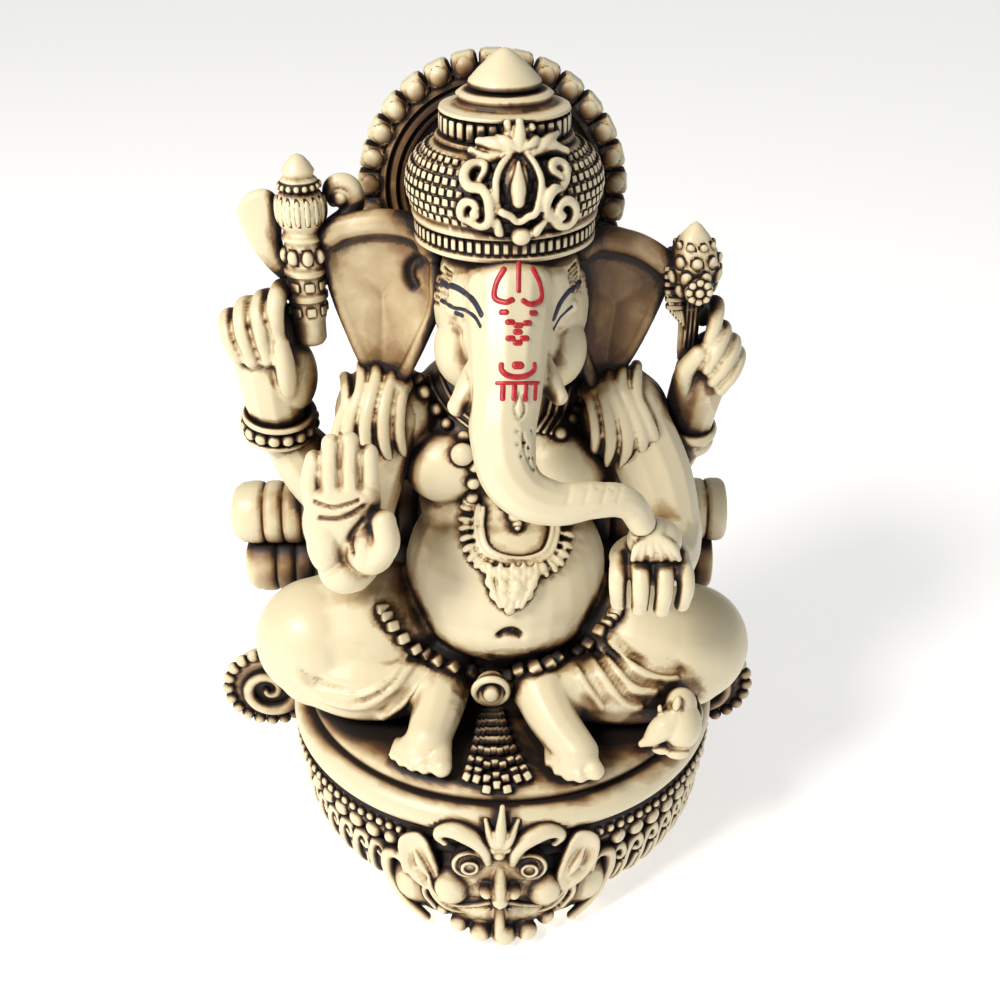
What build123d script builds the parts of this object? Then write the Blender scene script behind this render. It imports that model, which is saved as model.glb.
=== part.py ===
from build123d import *
import os
from math import asin, cos, degrees, pi, radians, sin, sqrt

# Seated elephant-headed idol of cast resin on a round pedestal, for a shelf or a home shrine.
# It is cast in pieces that are glued together, with steel dowels at the joints that carry weight.
# Millimetres. +Z is up, the idol faces -Y, and +X is the idol's left-hand side.
# The origin is on the surface the idol stands on, at the centre of the round pedestal.

# ---------------------------------------------------------------- driving dimensions
# Pedestal: a drum with a tapered foot and a rim, round in front and cut flat behind
felt_radius = 35.0
felt_thickness = 1.2
felt_proud = 0.4
felt_gap = 0.2
pedestal_radius = 43.0
pedestal_height = 25.1
foot_taper = 5.0
foot_height = 6.0
felt_setback = 2.2
rim_flare = 1.6
rim_height = 3.0
flat_back_y = 25.0
pearl_radius = 1.9
pearl_gap = 0.7
scroll_radius = 4.2
scroll_wire = 1.1
scroll_gap = 1.4

# Lion mask on the front of the pedestal
mask_half_width = 14.0
mask_radius = 9.0
mask_eye_radius = 3.3
mask_eye_spacing = 12.0
mask_ear_length = 11.0
mask_crest_height = 11.0
mask_jut = 3.3

# Seat cushion with a thick rolled edge and a cord under it
cushion_height = 10.0
cushion_edge_round = 4.0
roll_radius = 3.1
cord_radius = 1.0

# Throne behind the figure, a little off centre towards the idol's right
throne_centre_x = -5.0
throne_width = 70.0
throne_height = 44.0
throne_thickness = 5.0
bolster_length = 106.0
bolster_radius = 6.8
volute_radius = 10.2
volute_thickness = 7.0
volute_reach = 5.0

# Torso
belly_radius = 20.6
belly_half_height = 19.0
belly_centre_x = 0.5
belly_centre_y = -5.0
chest_half_width = 20.0
chest_radius = 13.0
shoulder_radius = 8.5

# Legs and feet
thigh_half_length = 20.5
thigh_radius = 13.6
shin_radius = 8.5
foot_length = 21.5
foot_radius = 5.2
toe_radius = 1.7

# Arms
upper_arm_radius = 7.0
forearm_radius = 6.4
wrist_radius = 5.0
rear_upper_arm_length = 29.0
rear_forearm_length = 27.0
front_upper_arm_length = 24.0
front_forearm_length = 18.0
bracelet_ring = 1.8
palm_half_height = 9.0
palm_radius = 7.4
palm_thickness = 6.0
finger_radius = 1.9
finger_length = 11.0
sweet_radius = 4.6

# Head
head_radius = 13.6
head_half_height = 15.0
trunk_root_radius = 6.6
trunk_tip_radius = 2.2
tusk_length = 7.0
tusk_radius = 2.0
ear_width = 21.0
ear_height = 28.0
ear_thickness = 3.0

# Crown and halo
crown_radius = 16.4
crown_band_height = 5.0
crown_cap_height = 12.5
crown_tier_height = 8.5
finial_radius = 5.8
finial_height = 7.0
jewel_radius = 9.0
jewel_thickness = 3.0
halo_radius = 22.6
halo_thickness = 4.0
petal_radius = 2.5

# Attributes in the rear hands
goad_radius = 2.6
goad_length = 50.0
pot_radius = 5.0
blade_length = 16.0
club_radius = 5.2
club_length = 37.0

# Jewellery
necklace_bead = 1.35
necklace_gap = 0.25
belt_bead = 1.7
belt_gap = 0.35
apron_bead = 1.15
apron_rows, apron_columns = 6, 5
belt_reach = 80.0
belt_lift = 6.0
collar_wire = 1.7
pendant_half_height = 4.6
fold_wire = 1.5

# Steel dowels, all alike, and the bores they are glued into
dowel_radius = 1.0
dowel_length = 8.0
dowel_gap = 0.05

RIGHT, LEFT = -1, 1

# ---------------------------------------------------------------- heights that stack up from the floor
pedestal_bottom = felt_proud
pedestal_top = pedestal_bottom + pedestal_height
seat_top = pedestal_top + cushion_height
rim_radius = pedestal_radius + rim_flare
foot_radius_out = pedestal_radius - foot_taper


# ---------------------------------------------------------------- shape helpers
def turned(profile):
    """A solid of revolution about X from edges that close on the X axis."""
    return revolve(make_face(profile), Axis.X, 360)


def along(start, direction, shape):
    """Moves a shape that lies along +X from the origin, so that it starts at a point and runs in a direction."""
    direction = Vector(*direction).normalized()
    side = Vector(0, 0, 1) if abs(direction.Z) < 0.9 else Vector(0, 1, 0)
    return Plane(origin=start, x_dir=direction, z_dir=direction.cross(side).normalized()) * shape


def spheroid(centre, axis, half_length, radius):
    """An egg that is round about its axis."""
    outline = EllipticalCenterArc((0, 0), half_length, radius, 0, arc_size=180)
    return along(centre, axis, turned([outline, Line((-half_length, 0), (half_length, 0))]))


def limb(start, end, radius_start, radius_end):
    """A tapered limb with a ball at each end."""
    length = (Vector(*end) - Vector(*start)).length
    lean = (radius_start - radius_end) / length
    rise = sqrt(1 - lean * lean)
    first = (radius_start * lean, radius_start * rise)
    last = (length + radius_end * lean, radius_end * rise)
    half = 0.5 * asin(lean)
    back = (-radius_start * cos(pi / 4 + half), radius_start * sin(pi / 4 + half))
    front_turn = 0.5 * (pi / 2 - asin(lean))
    front = (length + radius_end * cos(front_turn), radius_end * sin(front_turn))
    outline = [
        ThreePointArc((-radius_start, 0), back, first),
        Line(first, last),
        ThreePointArc(last, front, (length + radius_end, 0)),
        Line((length + radius_end, 0), (-radius_start, 0)),
    ]
    return along(start, Vector(*end) - Vector(*start), turned(outline))


def ball(centre, radius, outward=(0, -1, 0)):
    """A ball whose seam runs down the side that faces away from what it sits in."""
    return Plane(origin=centre, x_dir=outward, z_dir=(0, 0, 1)) * Sphere(radius)


def ring(centre, axis, radius, wire):
    return along(centre, axis, Rot(0, 90, 0) * Torus(radius, wire))


def disc(centre, axis, radius, thickness):
    """A round plate centred on a point, with its faces square to the axis."""
    return along(centre, axis, Rot(0, 90, 0) * Cylinder(radius, thickness))


def rod_through(points, radii):
    """A bent rod: tapered limbs from point to point, each with a ball at the bend."""
    pairs = range(len(points) - 1)
    return joined([limb(points[i], points[i + 1], radii[i], radii[i + 1]) for i in pairs])


def joined(shapes):
    result = shapes[0]
    for shape in shapes[1:]:
        result = result + shape
    return result


def on_circle(radius, angle, z):
    """A point round the pedestal: angle 0 is the front, and it grows towards the idol's left."""
    return (radius * sin(radians(angle)), -radius * cos(radians(angle)), z)


def behind(y):
    """Everything further back than y."""
    far = 200.0
    return Pos(0, y + far / 2, 0) * Box(4 * far, far, 4 * far)


# ---------------------------------------------------------------- fitting the pieces together
made = {}
boxes = {}
least_share = 0.25  # a trimmed bead or petal smaller than this share of the whole one is left out
least_overlap = 0.005  # cubic millimetres
nudges = (0.0, 0.013, -0.021, 0.037, -0.055)
small_volume = 60.0  # cubic millimetres: beads, pearls, petals
mesh_tolerance = 0.02
mesh_angle = 0.25
mesh_share = 0.04  # how far the volume of a small solid's mesh may be from its own


def box_of(shape):
    return shape.bounding_box(optimal=False)


def boxes_meet(a, b):
    return all(
        low_a <= high_b and low_b <= high_a for low_a, high_a, low_b, high_b in zip(a.min, a.max, b.min, b.max)
    )


def largest(shape):
    return max(shape.solids(), key=lambda solid: solid.volume)


def overlap(a, b):
    common = a.intersect(b)
    return sum(solid.volume for solid in common.solids()) if common else 0.0


def meshed_volume(solid):
    corners, triangles = solid.tessellate(mesh_tolerance, mesh_angle)
    return sum(corners[a].dot(corners[b].cross(corners[c])) for a, b, c in triangles) / 6


def cleanly_cut(shape, tools):
    """The sound solids left after a cut: none of them where the cut failed."""
    try:
        left = shape.cut(*tools).solids()
    except ValueError:
        return []
    return [solid for solid in left if solid.is_valid]


def seated(shape):
    """The shape's largest solid, cut back to the faces of the pieces that are already there.

    A cut can fail where two faces nearly touch, so it is measured, and tried again from a hair's breadth away.
    """
    whole = largest(shape)
    box = box_of(whole)
    met = [solid for name in made for solid, near in zip(made[name], boxes[name]) if boxes_meet(box, near)]
    for nudge in nudges if met else ():
        near = Pos(nudge, -nudge, nudge) * whole
        found = cleanly_cut(near, met)
        if not found:
            continue
        best = max(found, key=lambda solid: solid.volume)
        if best.volume < least_share * whole.volume:
            return None
        small = best.volume < small_volume
        if small and abs(meshed_volume(best) / best.volume - 1) > mesh_share:
            continue
        if sum(overlap(best, solid) for solid in met) < least_overlap:
            return best
    return None if met else whole


def keep(name, solids):
    made[name] = solids
    boxes[name] = [box_of(solid) for solid in solids]


def piece(name, shape, *cutters):
    """One solid in a node of its own, seated on the pieces made before it."""
    for cutter in cutters:
        shape = shape - cutter
    solid = seated(shape)
    if solid is None:
        raise ValueError(f"{name} lies inside its neighbours")
    keep(name, [solid])


def group(name, shapes):
    """Separate solids of one kind that share a node, each seated on the pieces made before it."""
    solids = [solid for solid in map(seated, shapes) if solid is not None]
    if not solids:
        raise ValueError(f"{name} lies inside its neighbours")
    keep(name, solids)


dowels = []


def dowel(centre, axis, *names):
    """A steel dowel across the joint at a point, and its bore in the pieces that it joins."""
    dowels.append(disc(centre, axis, dowel_radius, dowel_length))
    bore = disc(centre, axis, dowel_radius + dowel_gap, dowel_length + 2 * dowel_gap)
    for name in names:
        made[name] = [largest(solid - bore) for solid in made[name]]


# ---------------------------------------------------------------- pedestal
def make_pedestal():
    waist_high = pedestal_top - rim_height - rim_flare
    rim_low = pedestal_top - rim_height
    foot_top = pedestal_bottom + foot_height
    profile = make_face(
        Polyline(
            (0, pedestal_bottom),
            (foot_radius_out, pedestal_bottom),
            (pedestal_radius, foot_top),
            (pedestal_radius, waist_high),
            (rim_radius, rim_low),
            (rim_radius, pedestal_top),
            (0, pedestal_top),
            close=True,
        )
    )
    drum = revolve(Plane.XZ * profile, Axis.Z, 360)
    recess_depth = felt_thickness - felt_proud
    recess = Pos(0, 0, pedestal_bottom + recess_depth / 2) * Cylinder(felt_radius + felt_gap, recess_depth)
    recess = recess - behind(flat_back_y - felt_proud - felt_setback + felt_gap)
    felt = Pos(0, 0, felt_thickness / 2) * Cylinder(felt_radius, felt_thickness)
    felt = felt - behind(flat_back_y - felt_proud - felt_setback)
    piece("pedestal", drum - recess, behind(flat_back_y))
    piece("felt_pad", felt)


def make_cushion():
    radius = rim_radius - roll_radius
    pad = Pos(0, 0, pedestal_top + cushion_height / 2) * Cylinder(radius, cushion_height)
    pad = fillet(pad.edges().group_by(Axis.Z)[-1], cushion_edge_round)
    piece("seat_cushion", pad, behind(flat_back_y - roll_radius))
    roll = Pos(0, 0, pedestal_top + roll_radius) * Torus(radius, roll_radius)
    piece("seat_roll", roll, behind(flat_back_y - roll_radius))
    cord = Pos(0, 0, pedestal_top + cord_radius) * Torus(rim_radius + cord_radius / 2, cord_radius)
    piece("seat_cord", cord, behind(flat_back_y - roll_radius))


def make_mask():
    front = pedestal_radius
    middle = pedestal_bottom + pedestal_height * 0.45
    cheek = mask_half_width - mask_radius * 0.8
    face = limb((-cheek, -front, middle), (cheek, -front, middle), mask_radius, mask_radius)
    snout = limb(
        (0, -front - mask_radius * 0.7, middle + mask_radius * 0.6),
        (0, -front - mask_radius * 0.85, middle - mask_radius * 0.2),
        mask_radius * 0.22,
        mask_radius * 0.4,
    )
    jaw_radius = mask_radius * 0.6
    jaw_y = -front - mask_jut
    jaw_z = pedestal_bottom + jaw_radius
    jaw = limb((-cheek, jaw_y, jaw_z), (cheek, jaw_y, jaw_z), jaw_radius, jaw_radius)
    piece("lion_mask_face", joined([face, snout, jaw]))
    eye_z = middle + mask_radius * 0.85
    eyes = [
        ball((side * mask_eye_spacing / 2, -front - mask_radius * 0.42, eye_z), mask_eye_radius)
        for side in (RIGHT, LEFT)
    ]
    group("lion_mask_eyes", eyes)
    ear_start = mask_half_width * 0.8
    ears = [
        limb(
            (side * ear_start, -front - mask_radius * 0.3, eye_z - mask_eye_radius),
            (side * (ear_start + mask_ear_length * 0.7), -front + mask_radius * 0.5, eye_z + mask_eye_radius),
            mask_eye_radius * 0.8,
            mask_eye_radius * 0.45,
        )
        for side in (RIGHT, LEFT)
    ]
    crest_foot = (0, -front - mask_radius * 0.6, eye_z - 1.0)
    crest_tip = (0, -front - mask_radius * 0.5, eye_z + mask_crest_height * 0.75)
    crest = limb(crest_foot, crest_tip, mask_eye_radius * 0.75, mask_eye_radius * 0.5)
    group("lion_mask_ears_crest", [*ears, crest])


def make_border():
    """Pearls under the rim, and a ring of scrolls on the drum's wall below them."""
    back_angle = 90 + degrees(asin((flat_back_y - pearl_radius * 2) / pedestal_radius))
    pearl_z = pedestal_top - rim_height - rim_flare - pearl_radius * 0.6
    pearl_step = degrees((2 * pearl_radius + pearl_gap) / pedestal_radius)
    first_pearl = degrees((mask_half_width + 2 * pearl_radius) / pedestal_radius)
    pearls = []
    for side in (RIGHT, LEFT):
        for i in range(int((back_angle - first_pearl) / pearl_step)):
            angle = side * (first_pearl + i * pearl_step)
            centre = on_circle(pedestal_radius + pearl_radius * 0.3, angle, pearl_z)
            pearls.append(ball(centre, pearl_radius, on_circle(1, angle, 0)))
    group("pearl_row", pearls)
    scroll_z = pearl_z - pearl_radius - scroll_radius - scroll_wire * 0.5
    scroll_step = degrees((2 * (scroll_radius + scroll_wire) + scroll_gap) / pedestal_radius)
    first_scroll = degrees((mask_half_width + scroll_radius + 2 * scroll_wire) / pedestal_radius)
    scrolls = []
    for side in (RIGHT, LEFT):
        for i in range(int((back_angle - first_scroll) / scroll_step)):
            angle = side * (first_scroll + i * scroll_step)
            centre = on_circle(pedestal_radius, angle, scroll_z)
            outward = on_circle(1, angle, 0)
            whole = disc(centre, outward, scroll_radius + scroll_wire, 2 * scroll_wire + 2)
            hollow = disc(centre, outward, scroll_radius - scroll_wire, 4 * scroll_wire + 4)
            scrolls.append(whole - hollow)
            scrolls.append(disc(centre, outward, scroll_radius * 0.4, 2 * scroll_wire + 2))
    group("scroll_frieze", scrolls)


# ---------------------------------------------------------------- throne
throne_front = flat_back_y - 3.0 - throne_thickness
bolster_y = throne_front - bolster_radius * 0.85
lower_bolster_z = seat_top + bolster_radius + 12.0
upper_bolster_z = lower_bolster_z + bolster_radius * 1.8


def make_throne():
    panel = Pos(throne_centre_x, throne_front + throne_thickness / 2, seat_top + throne_height / 2)
    panel = panel * Box(throne_width, throne_thickness, throne_height)
    panel = fillet(panel.edges().filter_by(Axis.Y).group_by(Axis.Z)[-1], throne_height / 3)
    piece("throne_back", panel)
    half = bolster_length / 2
    for name, z, shrink in (("lower_bolster", lower_bolster_z, 2.0), ("upper_bolster", upper_bolster_z, 0.0)):
        roll = disc((throne_centre_x, bolster_y, z), (1, 0, 0), bolster_radius, 2 * (half - shrink))
        roll = fillet(roll.edges().filter_by(GeomType.CIRCLE), bolster_radius * 0.3)
        piece(name, roll)
    volute_z = pedestal_top - volute_radius * 0.2
    for name, side in (("right_volute", RIGHT), ("left_volute", LEFT)):
        centre = (throne_centre_x + side * (pedestal_radius + volute_reach), volute_thickness, volute_z)
        scroll = disc(centre, (0, 1, 0), volute_radius, volute_thickness)
        piece(name, fillet(scroll.edges().filter_by(GeomType.CIRCLE), volute_thickness * 0.25))


# ---------------------------------------------------------------- torso and legs
belly_z = seat_top + belly_half_height * 0.74 + thigh_radius
chest_z = belly_z + belly_half_height * 0.75 + chest_radius
chest_y = belly_centre_y + 4.0
shoulder_z = chest_z + chest_radius * 0.55
shoulder_y = chest_y + 2.0
shoulder_reach = chest_half_width + 2.0


def shoulder(side, forward=0.0):
    """The shoulder's centre. The rear arm starts behind it and the front arm before it."""
    return (belly_centre_x + side * shoulder_reach, shoulder_y - forward, shoulder_z)


def make_torso():
    belly = spheroid((belly_centre_x, belly_centre_y, belly_z), (0, 0, 1), belly_half_height, belly_radius)
    chest = spheroid((belly_centre_x, chest_y, chest_z), (1, 0, 0), chest_half_width, chest_radius)
    base = limb(
        (belly_centre_x, belly_centre_y + 3, seat_top + 1),
        (belly_centre_x, belly_centre_y, belly_z),
        belly_radius * 0.8,
        belly_radius * 0.9,
    )
    shoulders = [ball(shoulder(side), shoulder_radius) for side in (RIGHT, LEFT)]
    piece("torso", joined([belly, chest, base, *shoulders]))


knee_reach = {RIGHT: belly_radius + thigh_half_length * 0.6, LEFT: belly_radius + thigh_half_length * 0.48}
knee_z = seat_top + thigh_radius + 1.0


def ankle(side):
    return (
        belly_centre_x + side * belly_radius * (0.62 if side == RIGHT else 0.4),
        belly_centre_y - belly_radius * 0.62,
        seat_top + shin_radius,
    )


def make_legs():
    for name, side in (("right", RIGHT), ("left", LEFT)):
        centre = (belly_centre_x + side * knee_reach[side], belly_centre_y - 5.0, knee_z)
        thigh = spheroid(centre, (1, side * -0.25, -0.08 * side), thigh_half_length, thigh_radius)
        piece(f"{name}_leg", thigh)
        low = ankle(side)
        outer = (centre[0] - side * thigh_half_length * 0.35, centre[1] - thigh_radius * 0.55, low[2])
        piece(f"{name}_hem", limb(outer, (low[0] + side * shin_radius * 0.6, low[1], low[2]), shin_radius, shin_radius * 0.8))
        toe_x = low[0] + side * foot_length * 0.15
        toe = (toe_x, low[1] - foot_length * 0.72, seat_top + foot_radius * 0.55)
        sole = limb(low, toe, foot_radius * 1.25, foot_radius * 0.8)
        toes = []
        for i in range(5):
            spread = (i - 2) * toe_radius * 1.5
            toes.append(
                limb(
                    (toe[0] + spread, toe[1], seat_top + toe_radius),
                    (toe[0] + spread, toe[1] - foot_radius - 1.5, seat_top + toe_radius),
                    toe_radius,
                    toe_radius * 0.8,
                )
            )
        piece(f"{name}_foot", joined([sole, *toes]))


def make_mouse():
    """The mouse that sits on the cushion by the idol's left knee."""
    body = (pedestal_radius * 0.83, -pedestal_radius * 0.72, seat_top + 3.6)
    nose = (body[0] - 7.0, body[1] - 2.0, seat_top + 2.2)
    head = (body[0] - 3.5, body[1] - 1.5, seat_top + 4.4)
    back = spheroid(body, (0.7, 0.7, 0.1), 6.0, 4.2)
    snout = limb(head, nose, 3.2, 1.2)
    ears = [ball((head[0] + 1.2, head[1] + dy, head[2] + 3.0), 1.5) for dy in (-1.8, 1.8)]
    piece("mouse", joined([back, snout, *ears]))


# ---------------------------------------------------------------- arms and hands
def moved(point, direction, length):
    return tuple(Vector(*point) + Vector(*direction).normalized() * length)


def make_arm(name, side, forward, elbow_way, wrist_way, upper_length, fore_length):
    """Returns the wrist. The two halves of the arm are separate nodes."""
    top = shoulder(side, forward)
    elbow = moved(top, elbow_way, upper_length)
    wrist = moved(elbow, wrist_way, fore_length)
    piece(f"{name}_upper_arm", limb(top, elbow, upper_arm_radius, forearm_radius))
    piece(f"{name}_forearm", limb(elbow, wrist, forearm_radius, wrist_radius))
    return wrist


def fist(wrist, way, side):
    """A closed hand above a wrist, with its fingers folded in front."""
    centre = moved(wrist, way, wrist_radius + palm_half_height * 0.8)
    palm = spheroid(centre, way, palm_half_height, palm_radius * 0.85)
    fingers = []
    for i in range(4):
        z = centre[2] + palm_half_height * (0.75 - 0.42 * i)
        start = (centre[0] + side * palm_radius * 0.75, centre[1] - 1.0, z)
        end = (centre[0] - side * palm_radius * 0.1, centre[1] - palm_radius * 0.9, z)
        fingers.append(limb(start, end, finger_radius, finger_radius))
    return centre, joined([palm, *fingers])


rear_ways = {
    RIGHT: ((-0.42, -0.1, -0.9), (-0.3, -0.12, 0.92)),
    LEFT: ((0.2, -0.1, -0.97), (0.38, -0.12, 0.9)),
}
front_ways = {
    RIGHT: ((-0.28, -0.25, -1), (0.0, -1, 0.1)),
    LEFT: ((0.4, -0.3, -1), (-0.15, -1, 0.2)),
}


def make_rear_arms():
    """The raised rear arms, and what their hands hold."""
    grips = {}
    for name, side in (("rear_right", RIGHT), ("rear_left", LEFT)):
        wrist = make_arm(name, side, -upper_arm_radius * 0.8, *rear_ways[side], rear_upper_arm_length, rear_forearm_length)
        way = (side * 0.08, -0.15, 1)
        centre, hand = fist(wrist, way, side)
        grips[side] = (centre, hand, wrist, way)
    return grips


def make_attributes(grips):
    """The elephant goad with its blade and noose, and the lotus club. Each passes through its fist."""
    goad_way = (-0.04, 0.02, 1)
    centre, hand, wrist, way = grips[RIGHT]
    grip_x = centre[0] + palm_radius * 0.9
    foot = (grip_x, centre[1] - 3.0, centre[2] - palm_half_height * 0.3)
    top = moved(foot, goad_way, goad_length * 0.62)
    pot_low = moved(top, goad_way, goad_length * 0.06)
    tip = moved(pot_low, goad_way, goad_length * 0.22)
    shaft = joined(
        [
            limb(foot, top, goad_radius, goad_radius),
            spheroid(top, goad_way, pot_radius * 0.85, pot_radius),
            limb(pot_low, tip, goad_radius, goad_radius * 0.75),
        ]
    )
    piece("goad_shaft", shaft)
    neck = moved(foot, goad_way, goad_length * 0.52)
    blade_tip = (neck[0] - blade_length * 0.66, neck[1] + 3.0, neck[2] + blade_length * 0.25)
    blade_low = (neck[0] - blade_length * 0.55, neck[1] + 2.0, neck[2] - blade_length * 0.55)
    blade = joined([limb(neck, blade_tip, 2.2, 3.4), limb(blade_tip, blade_low, 3.2, 1.6)])
    hook_radius = blade_length * 0.28
    hook_x = neck[0] + goad_radius + hook_radius
    hook_z = neck[2] + pot_radius * 0.4
    hook = []
    for i in range(9):
        turn = radians(-180 + 32 * i)
        hook.append((hook_x + hook_radius * cos(turn), neck[1] + 2.0, hook_z + hook_radius * sin(turn)))
    group("goad_blades", [blade, rod_through(hook, [2.0 - 0.08 * i for i in range(9)])])
    piece("rear_right_hand", hand)

    centre, hand, wrist, way = grips[LEFT]
    foot = (centre[0] - palm_radius * 0.8, centre[1] - 3.5, centre[2] - palm_half_height * 0.2)
    club_way = (0.17, 0, 1)
    middle = moved(foot, club_way, club_length * 0.5)
    tip = moved(foot, club_way, club_length * 0.8)
    body = moved(foot, club_way, club_length * 0.55)
    club = joined(
        [
            limb(foot, middle, goad_radius, club_radius * 0.7),
            spheroid(body, club_way, club_length * 0.3, club_radius),
            limb(body, tip, club_radius * 0.7, club_radius * 0.45),
        ]
    )
    piece("lotus_club", club)
    piece("rear_left_hand", hand)
    for name, side in (("rear_right_bracelet", RIGHT), ("rear_left_bracelet", LEFT)):
        piece(name, ring(grips[side][2], grips[side][3], wrist_radius + bracelet_ring * 0.6, bracelet_ring))


def make_front_arms():
    """The blessing hand, palm out, and the hand that holds the sweet under the trunk's tip."""
    lead = upper_arm_radius * 0.9
    wrist = make_arm("front_right", RIGHT, lead, *front_ways[RIGHT], front_upper_arm_length, front_forearm_length)
    palm = (wrist[0] + 1.0, wrist[1] - 3.0, wrist[2] + palm_half_height * 1.1)
    pad = palm_thickness * 0.62
    hand = []
    for dx in (-pad, 0, pad):
        low = (palm[0] + dx, palm[1], palm[2] - palm_half_height + pad)
        hand.append(limb(low, (palm[0] + dx, palm[1], palm[2] + palm_half_height - pad), pad, pad * 0.9))
    for i in range(4):
        x = palm[0] + (i - 1.5) * finger_radius * 1.9
        reach = finger_length * (0.85 if i in (0, 3) else 1.0)
        start = (x, palm[1] + 0.2, palm[2] + palm_half_height * 0.4)
        hand.append(limb(start, moved(start, (0, 0.15, 1), reach), finger_radius, finger_radius * 0.8))
    thumb_root = (palm[0] + palm_half_height * 0.5, palm[1] - 1.5, palm[2] - palm_half_height * 0.5)
    thumb_tip = (palm[0] + palm_half_height * 0.9, palm[1] - 2.0, palm[2] + palm_half_height * 0.2)
    hand.append(limb(thumb_root, thumb_tip, finger_radius * 1.4, finger_radius))
    piece("blessing_hand", joined(hand))
    right = palm

    wrist = make_arm("front_left", LEFT, lead, *front_ways[LEFT], front_upper_arm_length, front_forearm_length)
    palm = (wrist[0], wrist[1] - 4.0, wrist[2] + 3.0)
    sweet = (palm[0] - 2.0, palm[1] - 3.0, palm[2] + sweet_radius + 2.5)
    hand = [spheroid(palm, (1, 0, 0), palm_half_height * 0.9, palm_thickness * 0.8)]
    for i in range(4):
        start = (palm[0] + (i - 1.5) * finger_radius * 2.0, palm[1] - palm_thickness * 0.6, palm[2] + 1.5)
        hand.append(limb(start, moved(start, (0, -0.15, -1), finger_length * 0.85), finger_radius, finger_radius * 0.85))
    piece("sweet_hand", joined(hand))
    piece("sweet", ball(sweet, sweet_radius))
    return sweet


# ---------------------------------------------------------------- head, trunk, ears
head_y = belly_centre_y - 4.0
head_z = shoulder_z + shoulder_radius + head_half_height * 0.95
head_x = belly_centre_x + 0.5


def make_head(sweet):
    skull = spheroid((head_x, head_y, head_z), (0, 0, 1), head_half_height, head_radius)
    neck = limb((head_x, head_y + 3, head_z - 4), (belly_centre_x, chest_y, shoulder_z), head_radius * 0.7, head_radius * 0.8)
    piece("head", skull + neck)
    front = head_y - head_radius
    route = [
        (head_x, front + 4.0, head_z + 2.0),
        (head_x, front - 3.5, head_z - 6.0),
        (head_x, front - 8.0, head_z - 13.0),
        (head_x + 4.0, front - 9.5, head_z - 20.0),
        (head_x + 12.0, front - 9.5, head_z - 23.0),
        (sweet[0] - 4.5, sweet[1] - 1.0, sweet[2] + sweet_radius + 4.0),
        (sweet[0] + 0.5, sweet[1] - 0.5, sweet[2] + sweet_radius - 0.5),
    ]
    taper = (trunk_root_radius - trunk_tip_radius) / (len(route) - 1)
    radii = [trunk_root_radius - i * taper for i in range(len(route))]
    piece("trunk", rod_through(route, radii))
    tusks = []
    for side in (RIGHT, LEFT):
        root = (head_x + side * trunk_root_radius * 0.9, front + 1.0, head_z - head_half_height * 0.55)
        tusks.append(limb(root, moved(root, (side * 0.75, -0.5, -0.4), tusk_length), tusk_radius, tusk_radius * 0.6))
    group("tusks", tusks)


def make_ears():
    """Broad ears that stand out from the head, each tapering to a lobe at the bottom."""
    for name, side, droop in (("right_ear", RIGHT, 0.0), ("left_ear", LEFT, 5.0)):
        root_x = head_radius * 0.75
        outline = Spline(
            (root_x, ear_height * 0.35),
            (root_x + ear_width * 0.5, ear_height * 0.4 - droop * 0.4),
            (root_x + ear_width, ear_height * 0.33 - droop),
            (root_x + ear_width * 0.85, -ear_height * 0.1 - droop * 0.5),
            (root_x + ear_width * 0.45, -ear_height * 0.6),
            (root_x, -ear_height * 0.2),
        )
        flap = make_face([outline, Line(outline @ 1, outline @ 0)])
        if side == RIGHT:
            flap = flap.mirror(Plane.YZ)
        solid = extrude(Plane.XZ * flap, ear_thickness / 2, both=True)
        piece(name, Pos(head_x, head_y + 5.0, head_z) * solid)


# ---------------------------------------------------------------- crown and halo
crown_x, crown_y = head_x - 0.8, head_y + 3.0
crown_low = head_z + head_half_height * 0.88
crown_cap_low = crown_low + crown_band_height
crown_cap_top = crown_cap_low + crown_cap_height
finial_low = crown_cap_top + crown_tier_height
crown_neck_radius = crown_radius * 0.66


def make_crown():
    axis = Pos(crown_x, crown_y, 0)
    band = Pos(0, 0, crown_low + crown_band_height / 2) * Cylinder(crown_radius * 0.97, crown_band_height)
    piece("crown_band", axis * band)
    bulge = ThreePointArc(
        (crown_radius * 0.95, crown_cap_low),
        (crown_radius * 0.98, crown_cap_low + crown_cap_height * 0.45),
        (crown_neck_radius, crown_cap_top),
    )
    outline = [
        Line((0, crown_cap_low), bulge @ 0),
        bulge,
        Line(bulge @ 1, (0, crown_cap_top)),
        Line((0, crown_cap_top), (0, crown_cap_low)),
    ]
    piece("crown_cap", axis * revolve(Plane.XZ * make_face(outline), Axis.Z, 360))
    tier_half = crown_tier_height / 2
    tiers = Pos(0, 0, crown_cap_top + tier_half / 2) * Cylinder(crown_neck_radius * 0.98, tier_half)
    tiers = tiers + Pos(0, 0, finial_low - tier_half / 2) * Cylinder(finial_radius * 1.3, tier_half)
    piece("crown_tiers", axis * tiers)
    cone = Pos(0, 0, finial_low + finial_height / 2) * Cone(finial_radius, finial_radius * 0.2, finial_height)
    piece("crown_finial", axis * cone)
    jewel_z = crown_cap_low + crown_cap_height * 0.55
    plaque = disc((head_x + 1.2, crown_y - crown_radius - 0.5, jewel_z), (0, 1, 0), jewel_radius, jewel_thickness * 2)
    drop = spheroid((head_x + 1.2, crown_y - crown_radius - jewel_thickness, jewel_z), (0, 0, 1), jewel_radius * 0.5, jewel_radius * 0.28)
    piece("crown_jewel", plaque + drop)


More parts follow.
